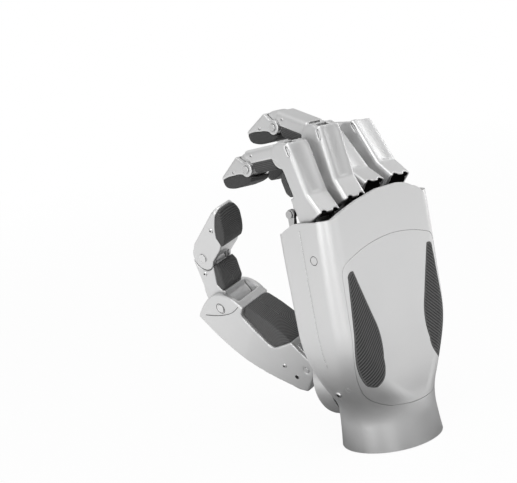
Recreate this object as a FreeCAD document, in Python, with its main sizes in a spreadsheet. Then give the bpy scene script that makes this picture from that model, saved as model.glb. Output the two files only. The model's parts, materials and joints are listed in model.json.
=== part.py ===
import FreeCAD, Part
import math
import os
import Sketcher
from FreeCAD import Placement, Rotation, Vector

# A right hand with four alike fingers and a thumb on a turret.
# Lengths are millimetres and angles are degrees. The origin is the centre of the cuff's lower rim,
# +Z runs up along the fingers, the palm faces -Y and the thumb side is +X.
# Every finger segment is drawn upright in its own frame: its root joint at the origin, +Z to its tip,
# and its pad on -Y. A Placement then bends it to the stored grip.

# Driving sizes
SIZES = [
    ("cuff_radius", 30, "outer radius of the wrist cuff"),
    ("neck_radius", 28.8, "outer radius of the neck above the cuff"),
    ("neck_height", 16, "height of the slimmest part of the neck"),
    ("shell_wall", 2.2, "wall of the palm housing"),
    ("palm_width", 92, "width of the palm housing"),
    ("palm_depth", 45, "depth of the palm housing"),
    ("palm_corner", 12, "corner radius of the palm section"),
    ("palm_low", 62, "height where the palm reaches its full width"),
    ("dorsal_rim", 149.5, "highest point of the rim on the back of the hand"),
    ("flank_rim", 140, "height of the rim on the flanks"),
    ("palmar_rim", 135, "height of the rim above the palm"),
    ("rim_dip", 129.5, "lowest point of the rim, before the index finger"),
    ("seat_gap", 0.15, "gap round an inlaid panel"),
    ("running_gap", 0.05, "radial gap of a pin that turns"),
    ("cover_top", 122.5, "top of the back cover"),
    ("cover_foot", 26, "foot of the back cover"),
    ("cover_margin", 6, "from the palm's side to the edge of the back cover"),
    ("grip_width", 19, "width of a side grip's room"),
    ("grip_top", 111, "top of the ribbed side grips"),
    ("grip_foot", 41, "foot of the ribbed side grips"),
    ("inlay_depth", 1.1, "depth of the inlaid cover, grips and palm pad"),
    ("screw_radius", 1.6, "radius of the flank screws"),
    ("pad_top", 119, "top of the palm pad"),
    ("pad_foot", 50, "foot of the palm pad"),
    ("pad_margin", 7.5, "from the palm's side to the edge of the palm pad"),
    ("plug_radius", 2.4, "radius of the flank plugs"),
    ("plug_height", 119, "height of the flank plugs"),
    ("flange_height", 8, "height of the wrist flange"),
    ("flange_bore", 12, "radius of the cable bore in the wrist flange"),
    ("bolt_circle", 42, "diameter of the wrist bolt circle"),
    ("bolt_radius", 2.15, "radius of the wrist bolt holes"),
    ("deck_top", 126, "top of the knuckle deck"),
    ("deck_plate", 3, "thickness of the knuckle deck"),
    ("spine_face", 3, "palmar face of the chassis spine"),
    ("spine_wall", 3.4, "thickness of the chassis spine"),
    ("spine_width", 46, "width of the chassis spine"),
    ("shelf_top", 68, "shelf that carries the finger drives"),
    ("drive_radius", 4.4, "radius of a finger drive"),
    ("drive_length", 30, "length of a finger drive"),
    ("drive_rod", 1.6, "radius of a drive's output rod"),
    ("board_wall", 1.6, "thickness of the control board"),
    ("knuckle_margin", 13.75, "from the palm's side to an outer finger"),
    ("knuckle_depth", 1.8, "distance of the knuckle axes behind the middle plane"),
    ("knuckle_height", 141, "height of the knuckle axes"),
    ("index_drop", 4.8, "how much lower the index knuckle sits"),
    ("proximal_length", 42.5, "knuckle axis to middle joint axis"),
    ("middle_length", 30.5, "middle joint axis to end joint axis"),
    ("tip_length", 24.4, "end joint axis to fingertip"),
    ("proximal_width", 17.4, "width of the first segment"),
    ("middle_width", 15.6, "width of the second segment"),
    ("distal_width", 14.8, "width of the third segment"),
    ("finger_back", 9, "back of the first segment from its axis"),
    ("middle_back", 7.2, "back of the second segment from its axis"),
    ("pad_seat", 1.8, "seat of the finger pads below the axis"),
    ("finger_front", 7.4, "front of the first segment's pad"),
    ("middle_front", 6.8, "front of the second segment's pad"),
    ("skirt_flare", 4.2, "flare of the skirt that covers the knuckle"),
    ("skirt_height", 16, "height where the skirt meets the straight back"),
    ("skirt_wall", 1.9, "wall of the skirt"),
    ("notch_place", 4.5, "distance of the skirt's notches from the middle"),
    ("notch_radius", 2.3, "radius of the skirt's notches"),
    ("valley_depth", 0.5, "depth of the shallow valley along the back"),
    ("valley_radius", 24, "radius of that valley"),
    ("cheek_gap", 0.15, "gap between a middle segment and the walls beside it"),
    ("tongue_width", 8.4, "width of the hinge tongues"),
    ("tongue_gap", 0.3, "side gap of a hinge tongue"),
    ("knuckle_round", 7.4, "radius of the middle joint's cheeks"),
    ("pin_radius", 1.5, "radius of the finger hinge pins"),
    ("pin_head", 2.2, "radius of the end joint's pin heads"),
    ("end_axis", 3.3, "how far the end joint sits toward the pad"),
    ("end_round", 4.4, "radius of the end joint's cheeks"),
    ("end_sweep", 6.4, "room round the end joint"),
    ("dome_round", 9.4, "radius of the tongue behind the end joint"),
    ("cross_half", 5.2, "half width of the knuckle cross"),
    ("cross_depth", 4.5, "half depth of the knuckle cross"),
    ("trunnion_radius", 2, "radius of the cross trunnions"),
    ("lug_wall", 3, "wall of the deck lugs"),
    ("lug_half", 3.4, "half width of the deck lugs"),
    ("lug_foot", 2.1, "half width of a knuckle lug at the deck"),
    ("bar_front", 8.8, "distance of the cross bar before the finger axis"),
    ("bar_height", 11, "height of the cross bar above the knuckle axis"),
    ("bar_radius", 1.6, "radius of the cross bar"),
    ("bar_half", 9.2, "half length of the cross bar"),
    ("eye_radius", 2.9, "outer radius of a push rod's eye"),
    ("eye_place", 7.6, "distance of a push rod's eye from the middle"),
    ("eye_width", 2.2, "width of a push rod's eye"),
    ("rod_radius", 1.2, "radius of a push rod"),
    ("rod_length", 28, "length of a push rod"),
    ("turret_place", 4, "distance of the thumb turret from the middle"),
    ("turret_height", 39, "height of the thumb turret's axis"),
    ("turret_radius", 25, "radius of the thumb turret"),
    ("turret_proud", 6, "height of the turret's drum before the palm"),
    ("dome_proud", 12, "height of the turret's dome before the palm"),
    ("turret_gap", 0.6, "gap round the thumb turret"),
    ("thumb_reach", 26, "distance of the thumb's root axis before the palm"),
    ("thumb_rise", 5, "height of the thumb's root axis over the turret axis"),
    ("pedestal_width", 13, "width of the turret's pedestal"),
    ("pedestal_round", 7, "radius of the pedestal's eye"),
    ("metacarpal_length", 68, "root axis to thumb knuckle axis"),
    ("metacarpal_width", 24.5, "width of the thumb's first segment"),
    ("metacarpal_back", 21.5, "back of the thumb's first segment from its axis"),
    ("metacarpal_front", 7, "front of the thumb's first segment from its axis"),
    ("cap_radius", 2.8, "radius of the thumb knuckle's caps"),
    ("thumb_length", 33, "thumb knuckle axis to thumb end axis"),
    ("thumb_width", 17.6, "width of the thumb's second segment"),
    ("thumb_back", 13.6, "back of the thumb's second segment"),
    ("thumb_front", 6.4, "front of the thumb's second segment's pad"),
    ("thumb_root", 8.8, "radius of the second segment's round root"),
    ("thumb_round", 8.4, "radius of the cheeks at the thumb's end joint"),
    ("thumb_end_back", 5, "how far the thumb's end joint sits toward the back"),
    ("thumb_tongue", 9, "width of the tongue in the thumb's end joint"),
    ("thumb_tip", 42.7, "thumb end axis to thumb tip"),
    ("thumb_tip_width", 17, "width of the thumb's third segment"),
    ("thumb_pin", 2, "radius of the thumb's hinge pins"),
]

# Stored grip: spread, knuckle, middle joint and end joint of each finger
GRIP = {
    "index": (-2.6, 19, 77, 19),
    "middle": (-1.8, 12, 58, 38),
    "ring": (-4.4, 39, 47, 56),
    "pinky": (-6.6, 34, 54, 45),
}
THUMB_TURN = 13.2
THUMB_PITCH = -51
THUMB_BEND = 55
THUMB_END = 36
FINGERS = list(GRIP)

doc = FreeCAD.newDocument("robot_hand")
sheet = doc.addObject("Spreadsheet::Sheet", "sizes")
for row, (alias, number, note) in enumerate(SIZES, 1):
    sheet.set(f"A{row}", note)
    sheet.set(f"B{row}", str(number))
    sheet.setAlias(f"B{row}", alias)
doc.recompute()


class Size:
    """A length that knows its number and the expression that gives it."""

    def __init__(self, number, text=None):
        self.number = float(number)
        self.text = text or f"({number})"

    def __add__(self, other):
        other = as_size(other)
        return Size(self.number + other.number, f"({self.text} + {other.text})")

    def __sub__(self, other):
        other = as_size(other)
        return Size(self.number - other.number, f"({self.text} - {other.text})")

    def __rsub__(self, other):
        return as_size(other) - self

    def __mul__(self, other):
        other = as_size(other)
        return Size(self.number * other.number, f"({self.text} * {other.text})")

    def __truediv__(self, other):
        other = as_size(other)
        return Size(self.number / other.number, f"({self.text} / {other.text})")

    def __neg__(self):
        return Size(-self.number, f"(-1 * {self.text})")

    __radd__ = __add__
    __rmul__ = __mul__


def as_size(value):
    """Turn a plain number into a Size and leave a Size as it is."""
    return value if isinstance(value, Size) else Size(value)


S = {}
for alias, number, note in SIZES:
    S[alias] = Size(getattr(sheet, alias), f"sizes.{alias}")
S["finger_pitch"] = (S["palm_width"] - S["knuckle_margin"] * 2) / 3
S["cover_half"] = S["palm_width"] / 2 - S["cover_margin"]
S["pad_half"] = S["palm_width"] / 2 - S["pad_margin"]


def value(alias):
    """The number held by a cell of the sheet."""
    return S[alias].number


PARTS = []


def new_body(label):
    """Start a body that will be written as one sub-part."""
    body = doc.addObject("PartDesign::Body", label)
    body.Label = label
    PARTS.append(body)
    return body


def origin_plane(body, role):
    """One of a body's own origin planes."""
    return [item for item in body.Origin.OriginFeatures if item.Role == role][0]


def new_sketch(body, role, offset=None):
    """A sketch on an origin plane, moved along the plane's normal by offset."""
    sketch = body.newObject("Sketcher::SketchObject", "outline")
    sketch.AttachmentSupport = [(origin_plane(body, role), "")]
    sketch.MapMode = "FlatFace"
    if offset is not None:
        offset = as_size(offset)
        sketch.AttachmentOffset = Placement(Vector(0, 0, offset.number), Rotation())
        sketch.setExpression("AttachmentOffset.Base.z", offset.text)
    return sketch


def fix(sketch, kind, place, size):
    """Tie one dimension of a sketch to its expression."""
    size = as_size(size)
    number = sketch.addConstraint(Sketcher.Constraint(kind, *place, size.number))
    sketch.setExpression(f"Constraints[{number}]", size.text)


def trace(sketch, corners):
    """A closed outline. A corner is (u, v), or (u, v, r) where an arc of radius r leads to it.

    A positive r bulges to the right of the way from the last corner, a negative one to the left.
    """
    corners = [tuple(as_size(item) for item in corner) for corner in corners]
    spots = [Vector(corner[0].number, corner[1].number, 0) for corner in corners]
    edges = []
    for number in range(len(corners)):
        start, end = spots[number - 1], spots[number]
        corner = corners[number]
        if len(corner) == 2:
            edge = sketch.addGeometry(Part.LineSegment(start, end))
            edges.append((edge, 1, 2, None))
            continue
        radius = corner[2]
        chord = end - start
        side = Vector(chord.y, -chord.x, 0).normalize()
        sign = 1 if radius.number > 0 else -1
        length = abs(radius.number)
        depth = math.sqrt(length ** 2 - chord.Length ** 2 / 4)
        centre = (start + end) * 0.5 - side * sign * depth
        through = centre + side * sign * length
        if sign > 0:
            arc = sketch.addGeometry(Part.Arc(start, through, end))
            edges.append((arc, 1, 2, radius))
        else:
            arc = sketch.addGeometry(Part.Arc(end, through, start))
            edges.append((arc, 2, 1, -radius))
    for number, (edge, first, last, radius) in enumerate(edges):
        before = edges[number - 1]
        sketch.addConstraint(Sketcher.Constraint("Coincident", before[0], before[2], edge, first))
        fix(sketch, "DistanceX", (-1, 1, edge, last), corners[number][0])
        fix(sketch, "DistanceY", (-1, 1, edge, last), corners[number][1])
        if radius is not None:
            fix(sketch, "Radius", (edge,), radius)
    return sketch


def draw(body, role, corners, offset=None):
    """A closed outline inside a body."""
    return trace(new_sketch(body, role, offset), corners)


def draw_circles(body, role, centres, radius, offset=None):
    """Circles of one radius at the given (u, v) places."""
    sketch = new_sketch(body, role, offset)
    radius = as_size(radius)
    for u, v in centres:
        u, v = as_size(u), as_size(v)
        centre = Vector(u.number, v.number, 0)
        circle = sketch.addGeometry(Part.Circle(centre, Vector(0, 0, 1), radius.number))
        fix(sketch, "DistanceX", (-1, 1, circle, 3), u)
        fix(sketch, "DistanceY", (-1, 1, circle, 3), v)
        fix(sketch, "Radius", (circle,), radius)
    return sketch


def raise_solid(body, sketch, length, both=True, backward=False):
    """Pad an outline, to both sides of its plane or to one."""
    length = as_size(length)
    pad = body.newObject("PartDesign::Pad", "solid")
    pad.Profile = sketch
    pad.Length = length.number
    pad.setExpression("Length", length.text)
    pad.Midplane = both
    pad.Reversed = backward
    return pad


def cut_solid(body, sketch, length, both=True, backward=False):
    """Pocket an outline, to both sides of its plane or to one."""
    length = as_size(length)
    pocket = body.newObject("PartDesign::Pocket", "cut")
    pocket.Profile = sketch
    pocket.Length = length.number
    pocket.setExpression("Length", length.text)
    pocket.Midplane = both
    pocket.Reversed = backward
    return pocket


def round_edges(body, feature, wanted, radius):
    """Fillet the straight edges whose middle point passes the test."""
    doc.recompute()
    names = []
    for number, edge in enumerate(feature.Shape.Edges, 1):
        if edge.Curve.TypeId != "Part::GeomLine":
            continue
        middle = edge.valueAt((edge.FirstParameter + edge.LastParameter) / 2)
        if wanted(middle, edge):
            names.append(f"Edge{number}")
    radius = as_size(radius)
    fillet = body.newObject("PartDesign::Fillet", "round")
    fillet.Base = (feature, names)
    fillet.Radius = radius.number
    fillet.setExpression("Radius", radius.text)
    return fillet


def long_edges(width, side, above=0):
    """A test for edges that run along a segment's back (side 1) or front (side -1)."""
    half = as_size(width).number / 2

    def wanted(middle, edge):
        along = edge.tangentAt(edge.FirstParameter)
        outside = abs(abs(middle.x) - half) < 0.01 and middle.y * side > 3
        return outside and middle.z > above and abs(along.z) > 0.7

    return wanted


def trim_tip(body, half, tip, radius):
    """Round a fingertip as seen from the front."""
    radius = as_size(radius)
    for side in (-1, 1):
        corner = [((half + 1) * side, tip - radius), ((half + 1) * side, tip + 1),
                  ((half - radius) * side, tip + 1), ((half - radius) * side, tip),
                  (half * side, tip - radius, -radius * side)]
        cut_solid(body, draw(body, "XZ_Plane", corner), 80)


def copy_body(label, source):
    """A second body with the same form as a finished one."""
    body = new_body(label)
    base = body.newObject("PartDesign::FeatureBase", "form")
    base.BaseFeature = source.Tip
    base.Placement = source.Tip.Placement
    body.Tip = base
    return body


# Poses of the chains
def turn(axis, angle, centre=Vector(0, 0, 0)):
    """A turn about an axis through a point."""
    return Placement(Vector(0, 0, 0), Rotation(axis, angle), centre)


def shift(x=0, y=0, z=0):
    """A move without a turn."""
    return Placement(Vector(x, y, z), Rotation())


X_AXIS, Y_AXIS, Z_AXIS = Vector(1, 0, 0), Vector(0, 1, 0), Vector(0, 0, 1)


def knuckle_point(finger):
    """Where a finger's two knuckle axes cross."""
    number = FINGERS.index(finger)
    across = value("finger_pitch") * (1.5 - number)
    drop = value("index_drop") if finger == "index" else 0
    return Vector(across, value("knuckle_depth"), value("knuckle_height") - drop)


def finger_frames(finger):
    """Placements of a finger's cross, first, second and third segments, and of its push rods."""
    spread, first, second, third = GRIP[finger]
    root = Placement(knuckle_point(finger), Rotation())
    cross = root * turn(Y_AXIS, spread)
    proximal = cross * turn(X_AXIS, first)
    middle = proximal * shift(z=value("proximal_length")) * turn(X_AXIS, second)
    end = shift(y=-value("end_axis"), z=value("middle_length"))
    distal = middle * end * turn(X_AXIS, third)
    bar = shift(y=-value("bar_front"), z=value("bar_height"))
    rods = proximal * bar * turn(X_AXIS, -first)
    return {"knuckle": cross, "proximal": proximal, "middle": middle, "distal": distal, "rods": rods}


def thumb_frames():
    """Placements of the turret and of the thumb's three segments."""
    place = Vector(value("turret_place"), -value("palm_depth") / 2, value("turret_height"))
    turret = Placement(place, Rotation(Y_AXIS, THUMB_TURN))
    root = turret * shift(y=-value("thumb_reach"), z=value("thumb_rise"))
    metacarpal = root * turn(Z_AXIS, 180) * turn(X_AXIS, THUMB_PITCH)
    proximal = metacarpal * shift(z=value("metacarpal_length")) * turn(X_AXIS, THUMB_BEND)
    end = shift(y=value("thumb_end_back"), z=value("thumb_length"))
    distal = proximal * end * turn(X_AXIS, THUMB_END)
    return {"turret": turret, "metacarpal": metacarpal, "proximal": proximal, "distal": distal}


# Finger segments
def build_knuckle(label):
    """The cross that lets a finger bend and spread: a block with four trunnions."""
    body = new_body(label)
    half, depth = S["cross_half"], S["cross_depth"]
    block = draw(body, "YZ_Plane", [(-depth, -depth), (depth, -depth), (depth, depth), (-depth, depth)])
    raise_solid(body, block, half * 2)
    bend = draw_circles(body, "YZ_Plane", [(0, 0)], S["trunnion_radius"])
    raise_solid(body, bend, S["proximal_width"] - S["skirt_wall"])
    spread = draw_circles(body, "XZ_Plane", [(0, 0)], S["trunnion_radius"])
    raise_solid(body, spread, (depth + S["tongue_gap"] * 2 + S["lug_wall"]) * 2 - 0.4)
    return body


def build_proximal(label):
    """First segment: flared skirt over the knuckle, straight shell, hood and hinge tongue."""
    body = new_body(label)
    length, back, width = S["proximal_length"], S["finger_back"], S["proximal_width"]
    room = S["knuckle_round"] + 0.6
    seat = -S["pad_seat"]
    low = seat - 2.8
    hood_high = length + 4.6
    hood_in = as_size(math.sqrt(room.number ** 2 - 4.6 ** 2))
    heel_drop = as_size(math.sqrt(room.number ** 2 - seat.number ** 2))
    shell = draw(body, "YZ_Plane", [
        (low, -1), (back + S["skirt_flare"], 3.5), (back, S["skirt_height"]), (back + 0.2, length),
        (back - 0.2, hood_high), (hood_in, hood_high), (seat, length - heel_drop, -room),
        (seat, S["skirt_height"] + 2.5), (low, S["skirt_height"] + 2.5)])
    solid = raise_solid(body, shell, width)
    round_edges(body, solid, long_edges(width, 1), 2)
    tongue = draw_circles(body, "YZ_Plane", [(0, length)], 6)
    raise_solid(body, tongue, S["tongue_width"])
    neck = draw(body, "YZ_Plane", [(seat, length - 12), (6, length - 12), (6, length), (seat, length)])
    raise_solid(body, neck, S["tongue_width"])
    wall = S["skirt_wall"]
    inside = draw(body, "YZ_Plane", [
        (low - 3, -4), (back + S["skirt_flare"] - wall, -4), (back + S["skirt_flare"] - wall, 3.5),
        (back - wall, S["skirt_height"] - 3), (low - 3, S["skirt_height"] - 3)])
    cut_solid(body, inside, width - wall * 2.5)
    bearing = draw_circles(body, "YZ_Plane", [(0, 0)], S["trunnion_radius"] + S["running_gap"])
    cut_solid(body, bearing, width - wall + 0.2)
    hinge = draw_circles(body, "YZ_Plane", [(0, length)], S["pin_radius"] + S["running_gap"])
    cut_solid(body, hinge, width)
    notches = draw_circles(body, "XZ_Plane", [(-S["notch_place"], 2.6), (S["notch_place"], 2.6)],
                           S["notch_radius"], -(back + S["skirt_flare"]))
    cut_solid(body, notches, 8)
    valley_start = S["skirt_height"] + 1
    valley = draw_circles(body, "XY_Plane", [(0, back + S["valley_radius"] - S["valley_depth"])],
                          S["valley_radius"], (valley_start + hood_high + 1) / 2)
    cut_solid(body, valley, hood_high + 1 - valley_start)
    inner = S["middle_width"] / 2 + S["cheek_gap"]
    wall_middle = (inner + width / 2) / 2
    for side in (-1, 1):
        cheek = draw(body, "YZ_Plane", [
            (seat, length - 13), (back - 2.4, length - 13), (back - 2.4, hood_high),
            (3, length + 7.4, 9), (-5.2, length + 5.2, 9), (-7.2, length + 1),
            (seat, length - 8.8, -14)], wall_middle * side)
        raise_solid(body, cheek, width / 2 - inner)
    return body


def build_proximal_pad(label):
    """Rubber pad on the front of the first segment."""
    body = new_body(label)
    seat, front = -S["pad_seat"], -S["finger_front"]
    foot = S["skirt_height"] + 3.4
    head = S["proximal_length"] - 9
    outline = draw(body, "YZ_Plane", [
        (seat, foot), (seat, head), (front + 2, head), (front, head - 3), (front, foot + 3),
        (front + 2, foot)])
    solid = raise_solid(body, outline, S["proximal_width"] - 0.6)
    round_edges(body, solid, long_edges(S["proximal_width"] - 0.6, -1), 2.4)
    return body


def build_cross_bar(label):
    """Bar with turned ends on a two-screw block: the push rods pull and push on it."""
    body = new_body(label)
    front, height = -S["bar_front"], S["bar_height"]
    seat = -S["pad_seat"] - 2.8
    block = draw(body, "YZ_Plane", [
        (seat, S["skirt_height"] - 3), (seat, S["skirt_height"] + 2), (front + 0.8, S["skirt_height"] + 2),
        (front - 1, height + 1), (front - 1, height - 1), (front + 1, height - 1)])
    raise_solid(body, block, S["tongue_width"])
    bar = draw_circles(body, "YZ_Plane", [(front, height)], S["bar_radius"])
    raise_solid(body, bar, S["bar_half"] * 2)
    for side in (-1, 1):
        cap = draw_circles(body, "YZ_Plane", [(front, height)], S["bar_radius"] + 0.7,
                           S["bar_half"] * side)
        raise_solid(body, cap, 0.8, both=False, backward=side < 0)
    screws = draw_circles(body, "XZ_Plane", [(-2.1, S["skirt_height"]), (2.1, S["skirt_height"])], 0.9,
                          S["bar_front"] - 3)
    cut_solid(body, screws, 4, both=False, backward=True)
    return body


def build_push_rods(label):
    """Two push rods, one at each end of the cross bar, hung from their eyes."""
    rods = []
    length, width = S["rod_length"], S["eye_width"]
    for side in (-1, 1):
        across = S["eye_place"] * side
        eye = rod("YZ_Plane", [(0, 0)], S["eye_radius"], across - width / 2, width)
        shaft = rod("XY_Plane", [(across, 0)], S["rod_radius"], -length, length - 2.1)
        foot = rod("XY_Plane", [(across, 0)], S["rod_radius"] + 0.7, -length - 1, 4)
        bore = rod("YZ_Plane", [(0, 0)], S["bar_radius"] + S["running_gap"], across - width, width * 2)
        rods.append(cut(fuse(eye, shaft, foot), bore))
    return publish(label, join(label, rods))


def build_middle(label):
    """Second segment: round cheeks at its root and a domed tongue at its end."""
    body = new_body(label)
    length, back, width = S["middle_length"], S["middle_back"], S["middle_width"]
    seat = -S["pad_seat"] + 1.2
    cheeks = draw_circles(body, "YZ_Plane", [(0, 0)], S["knuckle_round"])
    raise_solid(body, cheeks, width)
    sweep = S["end_sweep"]
    end = -S["end_axis"]
    foot = as_size(math.sqrt(sweep.number ** 2 - (seat - end).number ** 2))
    top = as_size(math.sqrt(sweep.number ** 2 - 2.2 ** 2))
    shell = draw(body, "YZ_Plane", [
        (seat, 0), (back, 0), (back, length - 1.8), (end + top, length - 2.2),
        (seat, length - foot, -sweep)])
    solid = raise_solid(body, shell, width)
    round_edges(body, solid, long_edges(width, 1), 2.4)
    room = S["knuckle_round"] + 0.2
    notch = as_size(math.sqrt(room.number ** 2 - 5.2 ** 2))
    relief = draw(body, "YZ_Plane", [(room, 0, -room), (12, 0), (12, 5.2), (notch, 5.2)])
    cut_solid(body, relief, width + 1)
    dome = draw_circles(body, "YZ_Plane", [(end, length)], S["end_round"])
    raise_solid(body, dome, S["tongue_width"])
    knuckle = draw(body, "YZ_Plane", [
        (end, length), (seat, length - 5.8), (seat, length - 8), (end + S["dome_round"], length - 3),
        (end + S["dome_round"], length), (end + S["dome_round"] * 0.5, length + S["dome_round"] * 0.866,
                                          S["dome_round"])])
    raise_solid(body, knuckle, S["tongue_width"])
    slot = draw(body, "YZ_Plane", [
        (-9, -9), (9, -9), (9, -2), (6.6, 1), (6.6, 6.6), (-9, 6.6)])
    cut_solid(body, slot, S["tongue_width"] + S["tongue_gap"] * 2)
    hinge = draw_circles(body, "YZ_Plane", [(0, 0), (end, length)], S["pin_radius"])
    cut_solid(body, hinge, width)
    return body


def build_middle_pad(label):
    """Rubber pad on the front of the second segment."""
    body = new_body(label)
    seat, front = -S["pad_seat"] + 1.2, -S["middle_front"]
    foot, head = S["knuckle_round"] + 0.2, S["middle_length"] - 6.2
    outline = draw(body, "YZ_Plane", [
        (seat, foot, -7.62), (seat, head), (front + 0.6, head - 0.6), (front, head - 2.4),
        (front, foot - 1.2), (front + 1.8, foot - 2)])
    solid = raise_solid(body, outline, S["middle_width"] - 0.4)
    round_edges(body, solid, long_edges(S["middle_width"] - 0.4, -1), 2.2)
    return body


def build_pins(label):
    """Hinge pins of the middle and end joints, the second with round heads."""
    width, tip = S["middle_width"] - 0.4, S["distal_width"] + 0.3
    end = [(-S["end_axis"], S["middle_length"])]
    plain = rod("YZ_Plane", [(0, 0)], S["pin_radius"], -width / 2, width)
    shaft = rod("YZ_Plane", end, S["pin_radius"], -tip / 2, tip)
    heads = [rod("YZ_Plane", end, S["pin_head"], tip / 2, 0.6),
             rod("YZ_Plane", end, S["pin_head"], -tip / 2 - 0.6, 0.6)]
    return publish(label, join(label, [plain, fuse(shaft, *heads)]))


def build_distal(label):
    """Third segment: cheeks round the end joint, sloping nail side and a curved seat for the pad."""
    body = new_body(label)
    tip, width = S["tip_length"], S["distal_width"]
    cheeks = draw_circles(body, "YZ_Plane", [(0, 0)], S["end_round"])
    raise_solid(body, cheeks, width)
    shell = draw(body, "YZ_Plane", [
        (4.2, 0), (9.9, 3.4), (5.2, tip - 1), (4, tip, 1.4), (1.6, tip * 0.45, -30),
        (-4.2, 1.2, -16)])
    raise_solid(body, shell, width)
    slot = draw(body, "YZ_Plane", [
        (-6, -6), (S["dome_round"] + 0.5, -6), (S["dome_round"] + 0.5, 0),
        ((S["dome_round"] + 0.5) * 0.17, (S["dome_round"] + 0.5) * 0.985, S["dome_round"] + 0.5),
        (-1.2, 6.2), (-6, 6.2)])
    cut_solid(body, slot, S["tongue_width"] + S["tongue_gap"] * 2)
    hinge = draw_circles(body, "YZ_Plane", [(0, 0)], S["pin_radius"] + S["running_gap"])
    cut_solid(body, hinge, width)
    trim_tip(body, width / 2, tip, 5)
    return body


def build_distal_pad(label):
    """Fingertip pad of rubber, full at its middle and thin at the tip."""
    body = new_body(label)
    tip = S["tip_length"]
    outline = draw(body, "YZ_Plane", [
        (4, tip), (1.6, tip * 0.45, -30), (-4.2, 1.2, -16), (-5.6, -1.6), (-7.2, 1), (-6, 10, -30),
        (1, tip - 1, -22)])
    raise_solid(body, outline, S["distal_width"])
    cut_solid(body, draw_circles(body, "YZ_Plane", [(0, 0)], S["end_round"]), S["distal_width"] + 2)
    room = draw_circles(body, "YZ_Plane", [(0, 0)], S["end_round"] + 0.4)
    cut_solid(body, room, S["tongue_width"] + S["tongue_gap"] * 2)
    trim_tip(body, S["distal_width"] / 2, tip, 5)
    return body


# Solids of the palm, joined from simple ones
TURNS = {
    "XY_Plane": Rotation(),
    "XZ_Plane": Rotation(X_AXIS, 90),
    "YZ_Plane": Rotation(Vector(1, 1, 1), 120),
}


def free_sketch(role, start):
    """A sketch that stands by itself, parallel to one of the main planes."""
    sketch = doc.addObject("Sketcher::SketchObject", "outline")
    start = as_size(start)
    normal = TURNS[role].multVec(Z_AXIS)
    sketch.Placement = Placement(normal * start.number, TURNS[role])
    for letter, part in zip("xyz", normal):
        if abs(part) > 0.5:
            sketch.setExpression(f"Placement.Base.{letter}", (start * round(part)).text)
    return sketch


def prism(role, corners, start, length):
    """A solid over a closed outline. Start and length run along the plane's normal."""
    sketch = trace(free_sketch(role, start), corners)
    length = as_size(length)
    solid = doc.addObject("Part::Extrusion", "prism")
    solid.Base = sketch
    solid.DirMode = "Normal"
    solid.LengthFwd = length.number
    solid.setExpression("LengthFwd", length.text)
    solid.Solid = True
    return solid


def rod(role, centres, radius, start, length):
    """Round solids over circles of one radius."""
    sketch = free_sketch(role, start)
    radius = as_size(radius)
    for u, v in centres:
        u, v = as_size(u), as_size(v)
        centre = Vector(u.number, v.number, 0)
        circle = sketch.addGeometry(Part.Circle(centre, Vector(0, 0, 1), radius.number))
        fix(sketch, "DistanceX", (-1, 1, circle, 3), u)
        fix(sketch, "DistanceY", (-1, 1, circle, 3), v)
        fix(sketch, "Radius", (circle,), radius)
    length = as_size(length)
    solid = doc.addObject("Part::Extrusion", "rod")
    solid.Base = sketch
    solid.DirMode = "Normal"
    solid.LengthFwd = length.number
    solid.setExpression("LengthFwd", length.text)
    solid.Solid = True
    return solid


def cut(first, second):
    """The first solid without the second."""
    result = doc.addObject("Part::Cut", "cut")
    result.Base = first
    result.Tool = second
    return result


def common(first, second):
    """Where two solids overlap."""
    result = doc.addObject("Part::Common", "common")
    result.Base = first
    result.Tool = second
    return result


def fuse(*solids):
    """Several solids made one."""
    result = doc.addObject("Part::MultiFuse", "fuse")
    result.Shapes = list(solids)
    return result


def publish(label, solid):
    """Name a solid as one sub-part."""
    solid.Label = label
    PARTS.append(solid)
    return solid


def rounded_section(half_x, half_y, corner, height):
    """A rounded rectangle that lies flat at a height."""
    right, top = half_x, half_y
    inner_x, inner_y = half_x - corner, half_y - corner
    corners = [
        (inner_x, -top), (right, -inner_y, corner), (right, inner_y), (inner_x, top, corner),
        (-inner_x, top), (-right, inner_y, corner), (-right, -inner_y), (-inner_x, -top, corner)]
    return trace(free_sketch("XY_Plane", height), corners)


def housing(inset):
    """The hand's outer form from the cuff to above the rim, drawn in by inset."""
    cuff, neck, half, deep = S["cuff_radius"], S["neck_radius"], S["palm_width"] / 2, S["palm_depth"] / 2
    corner = S["palm_corner"]
    sections = [
        (cuff, cuff, cuff - 0.5, 0),
        (neck, neck, neck - 0.5, S["neck_height"] - 3),
        (neck + 1.2, neck - 0.8, neck - 1.4, S["neck_height"] + 11),
        (half - 6.2, deep + 1.6, corner + 8, S["palm_low"] - 17),
        (half - 1.5, deep + 0.5, corner + 2, S["palm_low"]),
        (half, deep, corner, S["palm_low"] + 23),
        (half, deep - 0.2, corner - 1, S["palm_low"] + 53),
        (half - 1, deep - 0.5, corner - 1.5, S["dorsal_rim"] + 3)]
    loft = doc.addObject("Part::Loft", "form")
    loft.Sections = [rounded_section(wide - inset, tall - inset, turn_in - inset, height)
                     for wide, tall, turn_in, height in sections]
    loft.Solid = True
    loft.Ruled = False
    loft.MaxDegree = 2
    return loft


def shield(grow):
    """Outline of the back cover, widened by grow."""
    half, top, foot = S["cover_half"] + grow, S["cover_top"] + grow, S["cover_foot"] - grow
    shoulder = top - 7
    return [
        (half - 4, shoulder, 8), (-half + 4, shoulder, 96), (-half, shoulder - 7, 8),
        (-half - 0.5, foot + 42), (-half + 6.5, foot + 13, 60), (-half + 20, foot + 1.5, 26),
        (half - 20, foot + 1.5, 110), (half - 6.5, foot + 13, 26), (half + 0.5, foot + 42, 60),
        (half, shoulder - 7)]


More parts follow.
